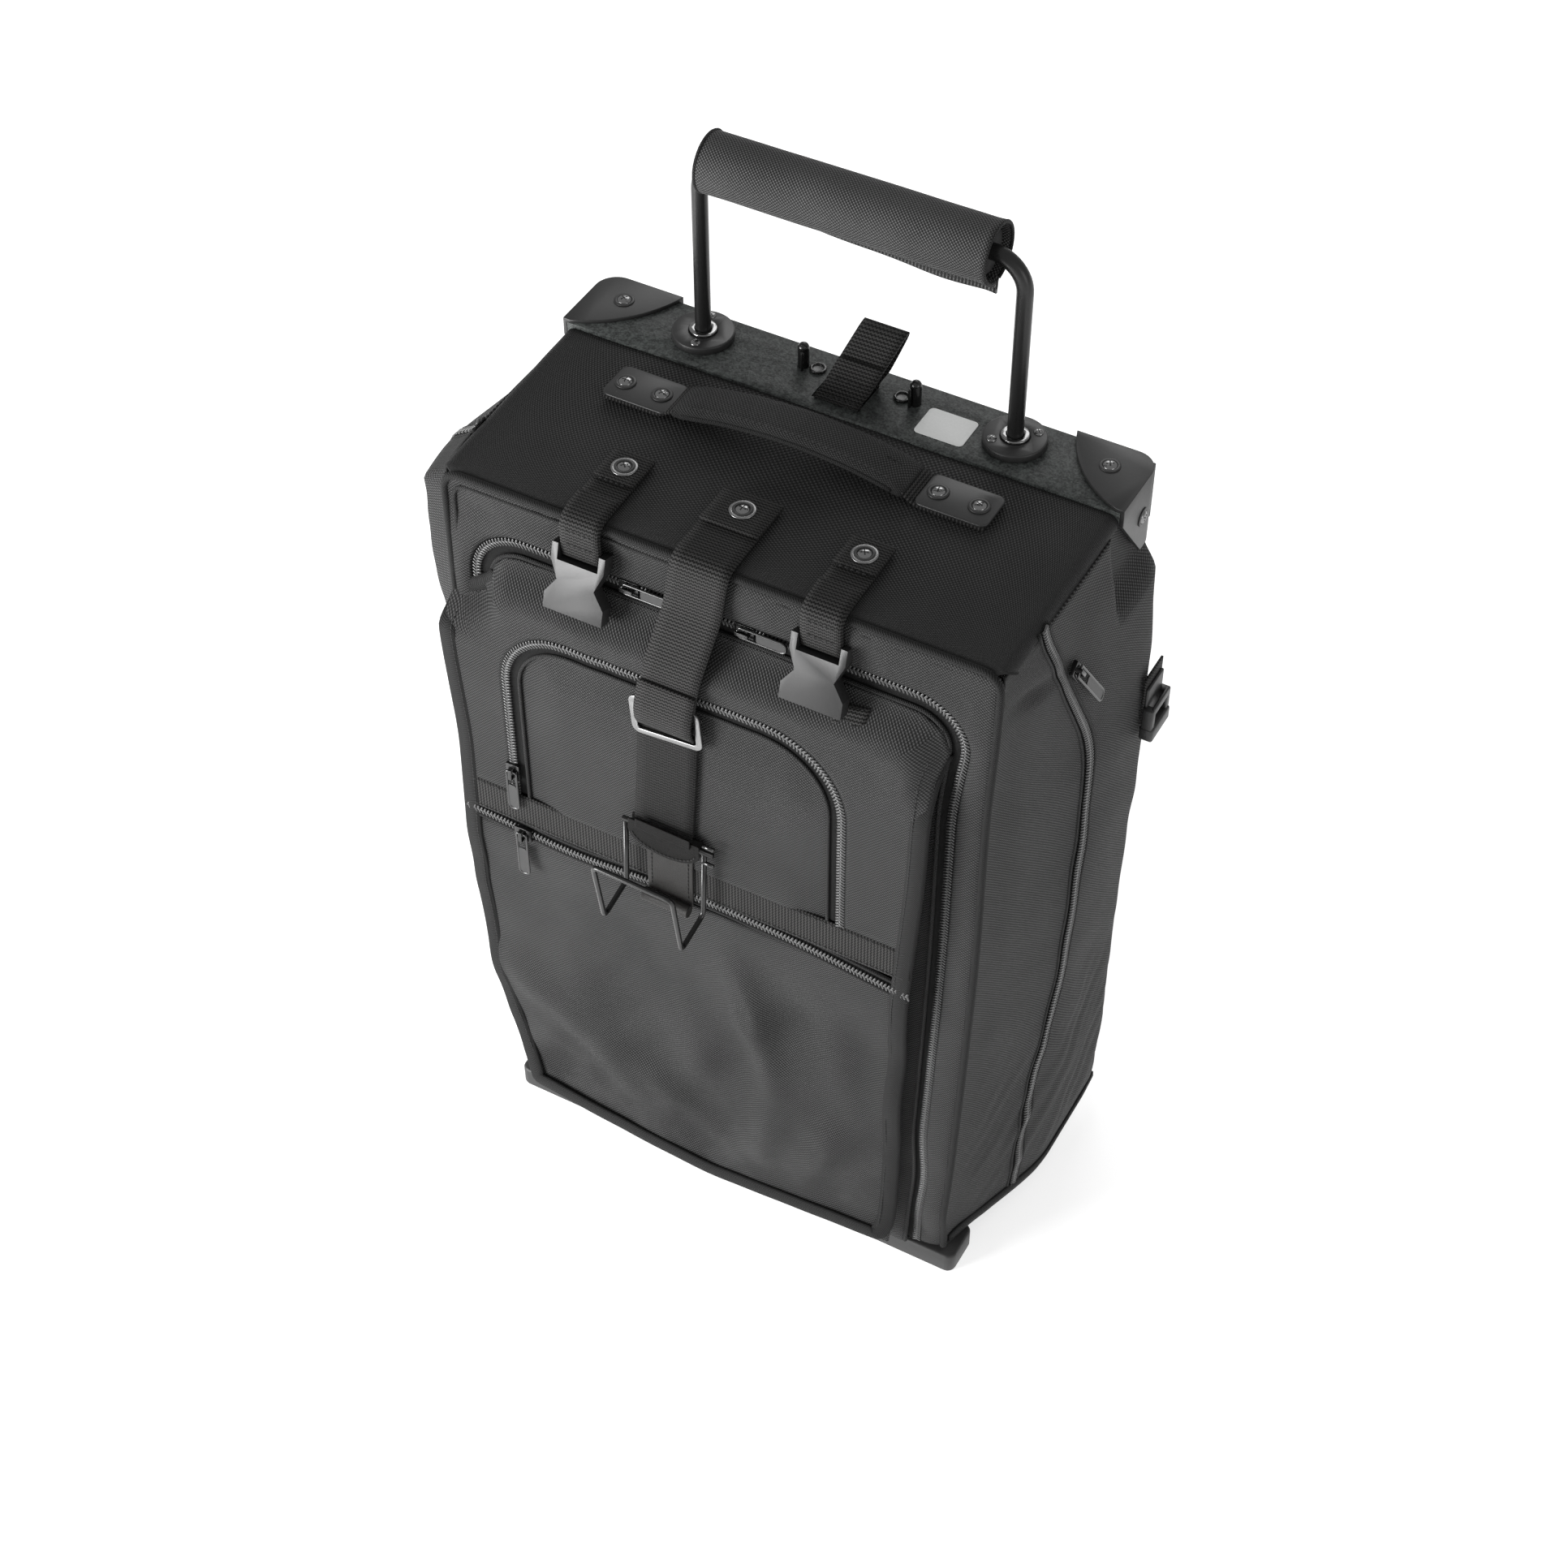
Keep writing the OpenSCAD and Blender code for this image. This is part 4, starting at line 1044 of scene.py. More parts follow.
def surround_place(u, v):
    (x, z), (dx, dz) = D_RING[round(v * (len(D_RING) - 1))]
    far = 0.0
    while far < 0.12:
        nx, nz = x + dx * (far + 0.001), z + dz * (far + 0.001)
        left, right = pocket_span(nz)
        if nz > u_top(nx) or nx < left or nx > right:
            break
        far += 0.001
    return on_face(x + dx * far * u, z + dz * far * u)


keep(
    patch(26, len(D_RING) - 1, surround_place, front=True), "pocket_surround", "bag", cloth, thick=0.0014,
    replaces=["pocket_panels"],
)


def d_place(u, v):
    z = BAND_HIGH - 0.002 + (D_TOP - 0.0085 - BAND_HIGH + 0.002) * v
    left, right = d_span(z, -0.0085)
    x = left + (right - left) * u
    rim = min(x - left, right - x, D_TOP - 0.0085 - z)
    dome = smooth(0, 0.03, rim)
    return on_face(x, z, -0.0008 + 0.0028 * dome)


keep(patch(64, 46, d_place, front=True), "d_panel", "bag", cloth, thick=0.0014, replaces=["pocket_flap"])


def lower_place(u, v):
    part = 1 - math.cos(math.pi / 2 * v)
    x = 0.0
    for k in range(3):
        low = through(LOW_LINE, x, 0.01)
        z = low + (LOW_ZIP - 0.0042 - low) * part
        left, right = pocket_span(z)
        x = left + (right - left) * u
    return on_face(x, z)


# Its cloth has lighter patches near the foot: partly wear, partly painted sheen.
keep(patch(110, 110, lower_place, front=True), "lower_panel", "bag", cloth_low, thick=0.0014)
band_path = [on_face(x / 1000, 0.313, 0.0014) for x in range(-168, 140, 4)]
keep(
    ribbon(band_path, BAND_HIGH - BAND_LOW - 0.001, ahead, across=6), "webbing_band", "bag", band_cloth,
        thick=0.0012
)
for z, name in ((BAND_HIGH - 0.0022, "upper"), (BAND_LOW + 0.0022, "lower")):
    row = [on_face(x / 1000, z, 0.0016) for x in range(-165, 138, 5)]
    stitches("band_stitches_" + name, row, ahead, "bag")
print("pocket panels sewn")

# %% [markdown]
# ## Pocket zips
# The D zip and the level zip are finer than the main one. Beside each row of
# teeth the smooth tape shows for a few millimetres, and then the cloth starts,
# its folded edge held by a line of stitches.
# %% Pocket zips
# The D zip's tape is the same near-black tape: partly its own colour, partly painted shade.
keep(
    ribbon(d_line(-0.003, -0.0004), 0.013, ahead, across=4), "d_zip_tape", "bag", zip_smooth_painted_shade,
    thick=0.0005, replaces=["pocket_zips"],
)
keep(teeth_mesh(d_line(0, 0.0006), ahead), "d_zip_teeth", "bag", tooth_plastic)
keep(sweep(d_line(-0.0088, 0.0004), circle(0.0011, 8), ahead, closed=True), "d_panel_edge", "bag", cloth_fine)
keep(sweep(d_line(0.0036, 0.0004), circle(0.0011, 8), ahead, closed=True), "d_surround_edge", "bag", cloth_fine)


LEVEL = [(-0.17, 0.008), (-0.143, 0.0065), (-0.097, 0.0015), (-0.05, 0.005), (0.0, 0.0095), (0.071, 0.0055),
    (0.14, -0.003)]


def level_line(z, lift, left=-0.168, right=0.135):
    """the level zip is a little wavy: a stuffed pocket never keeps it straight"""
    n = round((right - left) / 0.005)
    xs = [left + (right - left) * k / n for k in range(n + 1)]
    return [on_face(x, z + through(LEVEL, x, 0.02) - 0.004, lift) for x in xs]


keep(ribbon(level_line(LOW_ZIP, -0.0003), 0.015, ahead), "level_zip_tape", "bag", zip_cloth, thick=0.0005)
keep(teeth_mesh(level_line(LOW_ZIP + 0.0005, 0.0007), ahead), "level_zip_teeth", "bag", tooth_plastic)
keep(
    sweep(level_line(LOW_ZIP - 0.0046, 0.0004), circle(0.0013, 8), ahead, closed=True),
    "lower_panel_edge", "bag", cloth_fine,
)
keep(
    sweep(level_line(LOW_ZIP + 0.0062, 0.0), circle(0.0011, 8), ahead, closed=True),
    "band_fold", "bag", cloth_fine,
)
print("pocket zips laid")

# %% [markdown]
# ## Pocket sides and binding
# The pocket stands out from the wall on a narrow strip of cloth that folds
# inward. Its raw edge is closed by a herringbone tape bent round it, so the
# tape is swept with a hook-shaped section: flat in front, round at the edge,
# flat again behind. On the right the edge stands free, with a gap beside it.
# %% Gusset and binding
def edge_line(top_left, top_right, lift=0.0, inset=0.0):
    """down the left edge, along the bottom and up the right edge of the pocket"""
    pts = [(pocket_span(z)[0], z) for z in (top_left - (top_left - 0.05) * k / 80 for k in range(80))]
    xs = [-0.142 + (0.122 + 0.142) * k / 50 for k in range(51)]
    pts += [(x, through(LOW_LINE, x, 0.01)) for x in xs]
    pts += [(pocket_span(z)[1], z) for z in (0.045 + (top_right - 0.045) * k / 70 for k in range(71))]
    pts = rounded([(x, 0, z) for x, z in steps_flat(pts)], 0.012)
    out = []
    for k, p in enumerate(pts):
        way = pts[min(k + 1, len(pts) - 1)] - pts[max(k - 1, 0)]
        inward = Vector((-way.z, 0, way.x)).normalized()
        q = p + inward * inset
        out.append(on_face(q.x, q.z, lift))
    return out


def steps_flat(pts):
    return [(p.x, p.z) for p in steps([(x, 0, z) for x, z in pts], 0.006)]


bind_line = edge_line(0.487, 0.479, 0.0002)
section = [(-0.0095, -0.0002), (-0.0092, 0.0011), (-0.005, 0.0013), (0.0, 0.0012), (0.0012, 0.0004)]
section += [(0.0015, -0.0008), (0.001, -0.0022), (-0.001, -0.0028), (-0.008, -0.0026)]


keep(sweep(bind_line, section, ahead), "pocket_binding", "bag", bind_cloth, thick=0.0008, offset=0,
    replaces=["pocket_trim"])
stitch_line = edge_line(0.484, 0.476, 0.0017, 0.0076)
stitches("binding_stitches", stitch_line, ahead, "bag", pitch=0.003)
gusset_line = edge_line(0.480, 0.470, 0.0, 0.0004)
G_ROWS = steps(gusset_line, 0.006)


def gusset_place(u, v):
    p = G_ROWS[round(v * (len(G_ROWS) - 1))]
    wall = FRONT - 0.001
    q = G_ROWS[min(len(G_ROWS) - 1, round(v * (len(G_ROWS) - 1)) + 1)]
    back = G_ROWS[max(0, round(v * (len(G_ROWS) - 1)) - 1)]
    inward = Vector((back.z - q.z, 0, q.x - back.x)).normalized()
    pinch = 0.012 * smooth(0, 0.4, u)
    y = p.y + 0.0012 + (max(wall, p.y + 0.003) - p.y - 0.0012) * u
    spot = Vector((p.x, y, p.z)) + Vector((inward.x, 0, inward.z)) * pinch
    return Vector((spot.x, spot.y, max(spot.z, BASE + 0.0015)))


keep(
    patch(8, len(G_ROWS) - 1, gusset_place), "pocket_sides", "bag", cloth, thick=0.0012, offset=0,
    replaces=["pocket_gusset"],
)
print("binding", len(bind_line), "stations")

# %% [markdown]
# ## Softened hard parts
# A hard part of the frame has the right shape but knife-sharp edges, and a real
# edge always catches a line of light. So each is copied, its loose triangles
# are merged into clean faces, and a bevel rounds every edge by a fraction of a
# millimetre. The copy stands for the part and rides on the same body.
# %% Softening
BODY_OF = {n: b for b, names in frame["record"]["behaviour"]["bodies"].items() for n in names}


def soften(node, finish, width=0.0005, name=None, merge=0.03):
    bm = bmesh.new()
    bm.from_mesh(frame["nodes"][node].data)
    bmesh.ops.remove_doubles(bm, verts=bm.verts, dist=2e-6)
    bmesh.ops.dissolve_limit(bm, angle_limit=merge, verts=bm.verts, edges=bm.edges)
    ob = keep(bm, name or node + "_soft", BODY_OF[node], finish, bevel=width, replaces=[node])
    for m in ob.modifiers:
        m.angle_limit = math.radians(32)
        m.use_clamp_overlap = True
    return ob


for node, finish, width in (
    ("frame_plate", coat, 0.0007), ("corner_caps", black_satin, 0.0008), ("tube_flanges", black_satin, 0.0009),
    ("flange_lips", chrome, 0.0006), ("bag_pins", black_metal, 0.0004), ("label_plate", label_card, 0.00012),
    ("carry_plates", black_satin, 0.0007), ("tri_glide", glide_metal, 0.0008),
    ("wheel_housings", moulded, 0.0008), ("front_feet", foot_plastic, 0.0016),
    ("buckle_left", moulded, 0.0009), ("buckle_right", moulded, 0.0009),
    ("main_sliders", black_metal, 0.0006), ("lower_slider", black_metal, 0.0006),
    ("panel_slider", black_metal, 0.0006), ("side_slider_left", black_metal, 0.0006),
    ("side_slider_right", black_metal, 0.0006), ("guide_feet", moulded, 0.0006),
        ("release_yoke", bare_tube, 0.0005),
):
    soften(node, finish, width)
print("hard parts softened")

# %% [markdown]
# ## Screws
# All the screws are domed, with a cross recess, and most sit in a dark ring or
# on a washer. A dome is half a profile spun round; the recess is not cut but
# painted: a dark cross of painted shade set into its top. One function places them all.
# %% Screws
def screw(bm, cross, place, normal, r, turn=0.4):
    """adds a dome to one mesh and its cross, a dark block of painted shade standing for the recess, to another"""
    spin = Vector(normal).to_track_quat("Z", "Y").to_matrix().to_4x4()
    m = Matrix.Translation(place) @ spin @ Matrix.Rotation(turn, 4, "Z")
    arc = [(r, 0.0), (r * 0.99, r * 0.12), (r * 0.86, r * 0.3), (r * 0.6, r * 0.42), (r * 0.3, r * 0.48),
        (0.0, r * 0.5)]
    vs = [bm.verts.new((x, 0, z)) for x, z in arc]
    es = [bm.edges.new(pair) for pair in zip(vs, vs[1:])]
    got = bmesh.ops.spin(
        bm, geom=vs + es, cent=(0, 0, 0), axis=(0, 0, 1), dvec=(0, 0, 0), angle=TAU, steps=20, use_merge=True
    )
    mine = {v for g in got["geom_last"] for v in (g.verts if hasattr(g, "verts") else [g])} | set(vs)
    grow = list(mine)
    while grow:
        for e in grow.pop().link_edges:
            for v in e.verts:
                if v not in mine:
                    mine.add(v)
                    grow.append(v)
    bmesh.ops.transform(bm, matrix=m, verts=list(mine))
    for long_x in (True, False):
        size = (r * 1.05, r * 0.2, r * 0.1) if long_x else (r * 0.2, r * 1.05, r * 0.1)
        old = set(cross.verts)
        block(size, (0, 0, r * 0.455), cross, bevel=r * 0.03, segments=1)
        bmesh.ops.transform(cross, matrix=m, verts=[v for v in cross.verts if v not in old])


def ring(bm, place, normal, r_in, r_out, high):
    """flat ring with soft edges"""
    spin = Vector(normal).to_track_quat("Z", "Y").to_matrix().to_4x4()
    old = set(bm.verts)
    arc = [(r_in, 0), (r_in, high * 0.8), (r_in + high * 0.2, high), (r_out - high * 0.3, high),
        (r_out, high * 0.6), (r_out, 0)]
    vs = [bm.verts.new((x, 0, z)) for x, z in arc]
    es = [bm.edges.new(pair) for pair in zip(vs, vs[1:] + vs[:1])]
    bmesh.ops.spin(bm, geom=vs + es, cent=(0, 0, 0), axis=(0, 0, 1), dvec=(0, 0, 0), angle=TAU, steps=24,
        use_merge=True)
    mine = [v for v in bm.verts if v not in old]
    bmesh.ops.transform(bm, matrix=Matrix.Translation(place) @ spin, verts=mine)


def finish_mesh(bm, *args, **kw):
    bmesh.ops.remove_doubles(bm, verts=bm.verts, dist=1e-6)
    bmesh.ops.recalc_face_normals(bm, faces=bm.faces)
    return keep(bm, *args, **kw)


domes, recess_shade_crosses, dark_rings, washers = bmesh.new(), bmesh.new(), bmesh.new(), bmesh.new()
TUBE_X, TUBE_Y = 0.1, 0.0992
CAP_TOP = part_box("corner_caps")[1].z
for s in (-1, 1):
    at = (0.156 * s, TUBE_Y + 0.0043, CAP_TOP)
    ring(dark_rings, at, (0, 0, 1), 0.0042, 0.0062, 0.0007)
    screw(domes, recess_shade_crosses, at, (0, 0, 1), 0.0043, 0.5 * s)
    at = (0.179 * s, TUBE_Y + 0.0018, PLATE - 0.023)
    ring(dark_rings, at, (s, 0, 0), 0.004, 0.0058, 0.0007)
    screw(domes, recess_shade_crosses, at, (s, 0, 0), 0.004, 0.9)
for s, angle in ((-1, -80), (-1, 100), (1, -140), (1, 40)):
    a = math.radians(angle)
    at = (s * TUBE_X + 0.0135 * math.cos(a), TUBE_Y + 0.0135 * math.sin(a), PLATE + 0.0049)
    screw(domes, recess_shade_crosses, at, (0, 0, 1), 0.003, angle)
finish_mesh(domes, "frame_screw_domes", "bag", screw_steel, replaces=["frame_screws"])
domes = bmesh.new()
PLATE_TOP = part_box("carry_plates")[1].z
SCREW_Y = 0.0385
for x in (-0.116, -0.092, 0.083, 0.108):
    ring(dark_rings, (x, SCREW_Y, PLATE_TOP), (0, 0, 1), 0.0042, 0.0064, 0.0009)
    screw(domes, recess_shade_crosses, (x, SCREW_Y, PLATE_TOP + 0.0001), (0, 0, 1), 0.0043, x * 40)
for x in (-0.08, -0.005, 0.07):
    at = (x, FRONT + 0.04, 0.5572)
    ring(washers, at, (0, 0, 1), 0.0058, 0.0078, 0.0009)
    ring(dark_rings, at, (0, 0, 1), 0.0042, 0.006, 0.0013)
    screw(domes, recess_shade_crosses, at, (0, 0, 1), 0.0044, x * 30)
finish_mesh(domes, "top_screw_domes", "bag", chrome, replaces=["top_screws"])
# The crosses are dark blocks: painted shade standing for the hollow recess.
finish_mesh(recess_shade_crosses, "screw_crosses", "bag", black_metal)
finish_mesh(dark_rings, "screw_rings", "bag", black_satin)
finish_mesh(washers, "strap_washers", "bag", glide_metal)
print("screws placed")

# %% [markdown]
# ## Pull handle
# The two tubes and their crossbar come straight from the frame. Over the bar
# goes a foam sleeve and a nylon wrap that meets below in a flat tail, so seen
# from its end the wrap is a drop shape, open at the bottom.
# %% Grip
BAR_Z = 0.680
GRIP_L, GRIP_R = -0.0935, 0.0835


def wrap_section(r=0.0178, n=30, tail=0.009):
    pts = [(-0.0016, -r - tail)]
    for k in range(n + 1):
        a = -math.pi / 2 - 0.16 - (TAU - 0.32) * k / n
        pts.append((r * math.cos(a), r * math.sin(a)))
    return pts + [(0.0016, -r - tail * 0.55)]


def sag_tail(p, s, h):
    """the tail shortens to nothing at the left and flares at the right"""
    low = -0.0178
    if h < low:
        h = low + (h - low) * (0.25 + 0.75 * smooth(-0.09, 0.06, p.x)) + 0.0006 * math.sin(p.x * 90)
    return s, h


wrap_path = [(x / 1000, TUBE_Y, BAR_Z) for x in range(round(GRIP_L * 1000), round(GRIP_R * 1000) + 1, 3)]
wrap = sweep(wrap_path, wrap_section(), (0, 0, 1), gap=0.003, shape=sag_tail)
for p in wrap.verts:
    end = smooth(GRIP_R - 0.006, GRIP_R, p.co.x)
    p.co += Vector((0, p.co.y - TUBE_Y, p.co.z - BAR_Z)) * 0.03 * end
    p.co.z += 0.0005 * folds(p.co.x, p.co.y * 2, 0.03, 1.9)
# The wrap takes the lighter copy of the nylon, which is painted light.
keep(wrap, "grip_wrap_cloth", "pull_handle", grip_cloth_painted_light, thick=0.0016, offset=-1, replaces=["grip_wrap"])
for x in (GRIP_L + 0.0005, GRIP_R - 0.0005):
    hem = [(x, TUBE_Y + s, BAR_Z + h) for s, h in wrap_section(0.0174)[1:-1]]
    keep(
        sweep(hem, circle(0.0011, 8), (1, 0, 0), closed=True, gap=0.003),
        "grip_hem_" + ("left" if x < 0 else "right"), "pull_handle", cloth_fine,
    )
foam_path = [(x / 1000, TUBE_Y, BAR_Z) for x in range(-76, 80, 5)]
foam_bm = sweep(foam_path, circle(0.0128, 24), (0, 0, 1), closed=True, gap=0.005)
keep(foam_bm, "grip_foam_sleeve", "pull_handle", foam, replaces=["grip_foam"])
print("grip", round(GRIP_R - GRIP_L, 3), "long")

# %% [markdown]
# ## Release loop
# A short length of webbing, folded on itself, stands up through the frame plate
# and leans back. Pulling it lifts the yoke under the plate. It is a ribbon whose
# path climbs, turns over a soft top, and comes down in front.
# %% Release loop
LOOP_X = -0.004
low_y, high_y = TUBE_Y - 0.0155, TUBE_Y + 0.0035
loop = [(low_y, 0.547), (low_y - 0.0005, 0.566), (low_y + 0.01, 0.584), (low_y + 0.0215, 0.5985)]
loop += [(low_y + 0.027, 0.6), (low_y + 0.0295, 0.595), (low_y + 0.0275, 0.578), (high_y, 0.548)]
loop_path = rounded([(LOOP_X, y, z) for y, z in loop], 0.007)


def bent(path, width, across=6, gap=0.003):
    """strap whose path climbs and falls, while its width stays level along X"""
    rows = steps(path, gap)
    last = len(rows) - 1
    return patch(across, last, lambda u, v: rows[round(v * last)] + Vector(((u - 0.5) * width, 0, 0)))


loop_bm = bent(loop_path, 0.028)
bmesh.ops.recalc_face_normals(loop_bm, faces=loop_bm.faces)
for p in loop_bm.verts:
    p.co.x += 0.36 * (p.co.z - 0.552) * smooth(0.552, 0.57, p.co.z)
keep(loop_bm, "release_webbing", "release", strap_cloth, thick=0.0018, offset=0, replaces=["release_loop"])
fold = rounded([(LOOP_X, low_y - 0.0025, 0.5585), (LOOP_X, low_y - 0.003, 0.566),
    (LOOP_X, low_y + 0.0075, 0.584)], 0.006)
fold_bm = bent(fold, 0.028)
for p in fold_bm.verts:
    p.co.x += 0.36 * (p.co.z - 0.552) * smooth(0.552, 0.57, p.co.z)
keep(fold_bm, "release_fold", "release", strap_cloth, thick=0.0016, offset=0)
for k, z in enumerate((0.5635, 0.5745)):
    y = low_y - 0.0042 + max(0, z - 0.568) * 0.55
    row = [(LOOP_X + 0.36 * (z - 0.552) - 0.0125 + 0.025 * i / 8, y, z) for i in range(9)]
    stitches("release_stitches_" + "ab"[k], row, (0, -1, 0.4), "release")
print("release loop", len(loop_path), "points")

# %% [markdown]
# ## Carry handle
# Between two screwed plates arches a padded sleeve with a strip of webbing
# inside. The sleeve is a tube with a flattened section that thins to its ends,
# and noise makes its top a little uneven, as foam under cloth is. The webbing
# shows at both ends, where it dives under the plates.
# %% Carry handle
Z0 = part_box("carry_strap")[0].z
arch = [(-0.0795, 0.0062), (-0.06, 0.0105), (-0.04, 0.0142), (-0.003, 0.0172), (0.034, 0.0142),
    (0.055, 0.0102), (0.0685, 0.0062)]
arch_path = rounded([(x, SCREW_Y, Z0 + z) for x, z in arch], 0.03)


def sleeve_shape(p, s, h):
    end = min(smooth(-0.0805, -0.07, p.x), 1 - smooth(0.061, 0.0695, p.x))
    return s * (0.93 + 0.07 * end), h * (0.55 + 0.45 * end)


sleeve_section = [
    (-0.0150, 0.0), (-0.0143, 0.0022), (-0.0115, 0.0040), (-0.006, 0.0048), (0, 0.0050), (0.006, 0.0048),
    (0.0115, 0.0040), (0.0143, 0.0022), (0.0150, 0.0), (0.0143, -0.0022), (0.0115, -0.0036), (0, -0.0042),
    (-0.0115, -0.0036), (-0.0143, -0.0022), (-0.0150, 0.0),
]
sleeve_bm = sweep(arch_path, sleeve_section, lambda p: (0, 0, 1), closed=True, gap=0.003, shape=sleeve_shape)
for p in sleeve_bm.verts:
    p.co.z += 0.0004 * folds(p.co.x * 2, p.co.y, 0.012, 6.1)
sleeve = keep(sleeve_bm, "carry_sleeve", "bag", cloth, round_up=1, replaces=["carry_strap"])
for s, x1, x2 in (("left", -0.0795, -0.123), ("right", 0.068, 0.117)):
    way = 1 if x2 > x1 else -1
    ends = [(x1 - 0.006 * way, 0.0088), (x1, 0.0072), (x1 + 0.0045 * way, 0.0038),
        (x1 + 0.009 * way, 0.0022), (x2, 0.002)]
    pts = rounded([(x, SCREW_Y, Z0 + z) for x, z in ends], 0.006)
    strip = ribbon(pts, 0.0262, lambda p: (0, 0, 1), gap=0.003, across=6)
    keep(strip, "carry_webbing_" + s, "bag", strap_cloth, thick=0.0018, offset=0)
beads = [p + Vector((0, -0.0148, 0.0004)) for p in steps(arch_path, 0.004)][2:-2]
stitches("sleeve_stitches", [p + Vector((0, 0.0035, 0.0046)) for p in beads], (0, 0, 1), "bag", pitch=0.0042)
keep(sweep(beads, circle(0.0012, 8), (0, 0, 1), closed=True), "sleeve_seam", "bag", cloth_fine)
tack = [Vector((0.0475 + 0.014 * k / 6, SCREW_Y + 0.003, Z0 + 0.0172 - 0.0042 * k / 6)) for k in range(7)]
stitches("sleeve_tack", tack, (0.25, 0, 1), "bag", thick=0.0009)
print("carry handle", len(arch_path), "points")

# %% [markdown]
# ## Short straps
# Each short strap is screwed to the lid, runs over the front edge and ends in a
# loop round the buckle's bar. Where the webbing is folded back on itself it is
# double, and a box of stitches holds it; its cut end makes a small step.
# %% Straps
STRAP_W = 0.025


def strap_path(x, top=0.052, lift=0.0, low=0.5265):
    pts = [(FRONT + top, 0.5556 + lift), (FRONT - 0.002, 0.554 + lift)]
    pts += [(FRONT - 0.0062 - lift, 0.5518 + lift * 0.5), (FRONT - 0.0078 - lift, 0.548)]
    pts += [(FRONT - 0.0076 - lift, 0.54), (FRONT - 0.0066 - lift, low)]
    return rounded([(x, y, z) for y, z in pts], 0.004)


for name, x in (("left", -0.08), ("right", 0.07)):
    main = bent(strap_path(x), STRAP_W)
    keep(main, "strap_" + name, "bag", strap_cloth, thick=0.0015, offset=0,
        replaces=["straps"] if x < 0 else ())
    over = bent(strap_path(x, 0.013, 0.0015), STRAP_W - 0.0004)
    keep(over, "strap_fold_" + name, "bag", strap_cloth, thick=0.0014, offset=0)
    end = bent([Vector((x, FRONT + 0.053, 0.5568)), Vector((x, FRONT + 0.027, 0.5568))], STRAP_W + 0.0006)
    keep(end, "strap_end_" + name, "bag", strap_cloth, thick=0.0012, offset=0)
    for k, y in enumerate((0.012, 0.028)):
        row = [(x - 0.0105 + 0.021 * i / 6, FRONT + y - 0.002, 0.5572 if k else 0.5571) for i in range(7)]
        stitches(f"strap_stitches_{name}_{k}", row, (0, 0, 1), "bag")
    for k, z in enumerate((0.5365, 0.5465)):
        row = [(x - 0.0105 + 0.021 * i / 6, FRONT - 0.0103, z) for i in range(7)]
        stitches(f"strap_loop_stitches_{name}_{k}", row, ahead, "bag")
print("short straps sewn")

# %% [markdown]
# ## Middle strap, slide and keeper
# The wide strap hangs from its screw, leans a little to the left and folds back
# over the slide's upper bar. A second piece goes on down to the leather keeper
# that holds the hook. The leather parts are outlines given a thickness, with a
# row of stitches along their edge.
# %% Middle strap
STRAP_C = 0.036


def leaning(y, z):
    x = -0.005 + (-0.019 + 0.005) * smooth(0.56, 0.44, z) if z < 0.555 else -0.005
    return Vector((x, y, z))


upper = [(FRONT + 0.052, 0.5556), (FRONT - 0.002, 0.554), (FRONT - 0.0064, 0.5516), (FRONT - 0.0082, 0.547)]
upper += [(FRONT - 0.0108, 0.52), (FACE - 0.006, 0.4825), (FACE - 0.007, 0.462), (FACE - 0.0072, 0.4545)]
keep(
    bent(rounded([leaning(y, z) for y, z in upper], 0.006), STRAP_C), "middle_strap", "bag", strap_cloth,
    thick=0.0015, offset=0, replaces=["centre_strap"],
)
knee = [(FACE - 0.0088, 0.4735), (FACE - 0.0105, 0.4625), (FACE - 0.0118, 0.4535), (FACE - 0.0105, 0.4435),
    (FACE - 0.007, 0.4375)]
keep(bent(rounded([leaning(y, z) for y, z in knee], 0.005), STRAP_C + 0.0006), "middle_strap_fold", "bag",
    strap_cloth, thick=0.0015, offset=0)
lower = [Vector((-0.0195, FACE - 0.0044, 0.4365)), Vector((-0.0213, FACE - 0.0048, 0.40)),
    Vector((-0.0245, FACE - 0.0050, 0.3545))]
# This piece takes the darker copy of the webbing, painted shade against the lamp's full light.
keep(bent(lower, STRAP_C + 0.003), "middle_strap_lower", "bag", strap_painted_dark_low, thick=0.0022, offset=0)
end = bent([Vector((-0.005, FRONT + 0.0535, 0.5568)), Vector((-0.005, FRONT + 0.024, 0.5568))],
    STRAP_C + 0.0006)
keep(end, "middle_strap_end", "bag", strap_cloth, thick=0.0012, offset=0)

KEEP_AT = Vector((-0.022, FACE, 0.352))
LEAN = Matrix.Translation(KEEP_AT) @ Matrix.Rotation(math.radians(1.5), 4, "Y") @ Matrix.Translation(-KEEP_AT)


def leather_piece(name, outline_xz, y, thick, finish, replaces=()):
    pts = [KEEP_AT + Vector((x, y, z)) for x, z in outline_xz]
    bm = plate(pts, thick, (0, 1, 0))
    bmesh.ops.transform(bm, matrix=LEAN, verts=bm.verts)
    return keep(bm, name, "bag", finish, bevel=0.0006, replaces=replaces)


